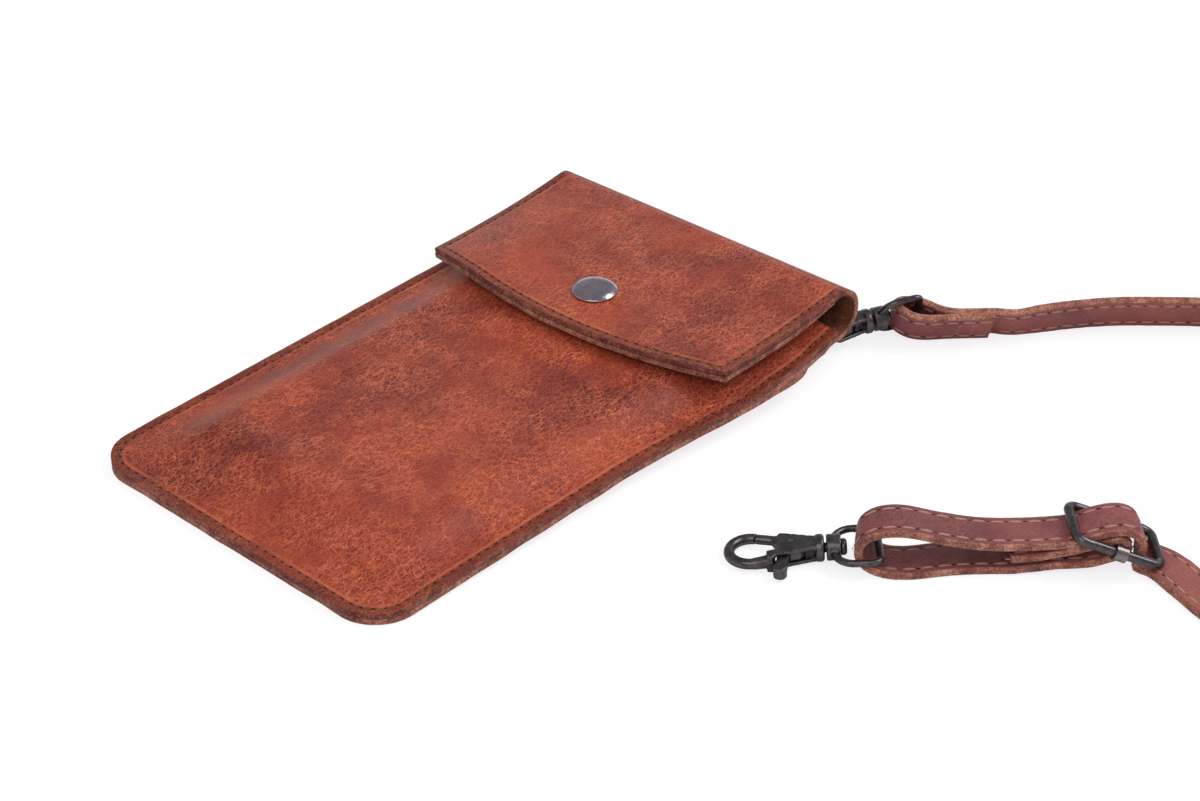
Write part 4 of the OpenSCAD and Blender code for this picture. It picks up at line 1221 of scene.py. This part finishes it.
# %% The floor
bm = bmesh.new()
bmesh.ops.create_grid(bm, x_segments=1, y_segments=1, size=3)
floor_mesh = bpy.data.meshes.new("floor")
bm.to_mesh(floor_mesh)
bm.free()
floor = bpy.data.objects.new("floor", floor_mesh)
bpy.context.scene.collection.objects.link(floor)
material, tree, shader = new_finish("white_floor")
floor_colour, glow_colour, plain_colour = (0.34, 0.35, 0.30), (0.975, 0.965, 1), (0.85, 0.85, 0.85)
glow_near, glow_far, near_m, far_m = 0.80, 1.05, 0.45, 1.3
shader.inputs["Base Color"].default_value = (*floor_colour, 1)
shader.inputs["Roughness"].default_value = 1.0
shader.inputs["Specular IOR Level"].default_value = 0.0
glow = add(tree, "ShaderNodeEmission", {"Color": (*glow_colour, 1)})
away = add(tree, "ShaderNodeVectorMath", operation="LENGTH")
tree.links.new(add(tree, "ShaderNodeTexCoord").outputs["Object"], away.inputs[0])
growing = spread(tree, away.outputs["Value"], near_m, far_m, glow_near, glow_far)
tree.links.new(growing, glow.inputs["Strength"])
plain = add(tree, "ShaderNodeBsdfDiffuse", {"Color": (*plain_colour, 1)})


def seen_rays(tree):
    rays = add(tree, "ShaderNodeLightPath").outputs
    return rays["Is Glossy Ray"], higher(tree, rays["Is Camera Ray"], rays["Is Transmission Ray"])


glossy, seen = seen_rays(tree)
both = add(tree, "ShaderNodeAddShader")
tree.links.new(glow.outputs[0], both.inputs[0])
tree.links.new(shader.outputs[0], both.inputs[1])
choose = add(tree, "ShaderNodeMixShader")
tree.links.new(seen, choose.inputs[0])
tree.links.new(plain.outputs[0], choose.inputs[1])
tree.links.new(both.outputs[0], choose.inputs[2])
tree.links.new(choose.outputs[0], tree.nodes["Material Output"].inputs["Surface"])
floor_mesh.materials.append(material)
print("glow of the floor:", glow_near, "to", glow_far)

# %% [markdown]
# Three soft lamps light the pouch: the key above on the right, a fill in front, and a low
# strip behind, for the sheen on the fold. Shiny surfaces mirror a world that is bright near
# the horizon and darker above.

# %% World and lamps
low_light, high_light, diffuse_light = 0.70, 0.34, 0.50
low_z, high_z = 0.03, 0.40
world = bpy.data.worlds.new("studio")
bpy.context.scene.world = world
world.use_nodes = True
tree = world.node_tree
glossy, seen = seen_rays(tree)
direction = add(tree, "ShaderNodeSeparateXYZ")
tree.links.new(add(tree, "ShaderNodeTexCoord").outputs["Generated"], direction.inputs[0])
mirrored = spread(tree, direction.outputs["Z"], low_z, high_z, low_light, high_light)
soft = add(tree, "ShaderNodeMix", data_type="FLOAT")
tree.links.new(glossy, soft.inputs[0])
soft.inputs[2].default_value = diffuse_light
tree.links.new(mirrored, soft.inputs[3])
strength = higher(tree, seen, soft.outputs[0])
background = tree.nodes["Background"]
background.inputs["Color"].default_value = (1, 1, 1, 1)
tree.links.new(strength, background.inputs["Strength"])


def soft_lamp(name, place, target, size, power):
    data = bpy.data.lights.new(name, "AREA")
    data.shape = "RECTANGLE"
    data.size, data.size_y = size
    data.energy = power
    lamp = bpy.data.objects.new(name, data)
    lamp.location = place
    lamp.rotation_euler = (Vector(target) - Vector(place)).to_track_quat("-Z", "Y").to_euler()
    lamp.visible_camera = False
    bpy.context.scene.collection.objects.link(lamp)


soft_lamp("key", (0.55, 0.65, 0.95), (0.03, 0.02, 0), (0.7, 0.6), 6.0)
soft_lamp("fill", (0.40, -0.80, 0.9), (0.03, 0, 0), (0.8, 0.7), 3.3)
soft_lamp("back", (-0.62, 1.02, 0.20), (0.02, 0.05, 0.01), (1.1, 0.22), 0.7)

# %% The view transform
bpy.context.scene.view_settings.view_transform = "Standard"
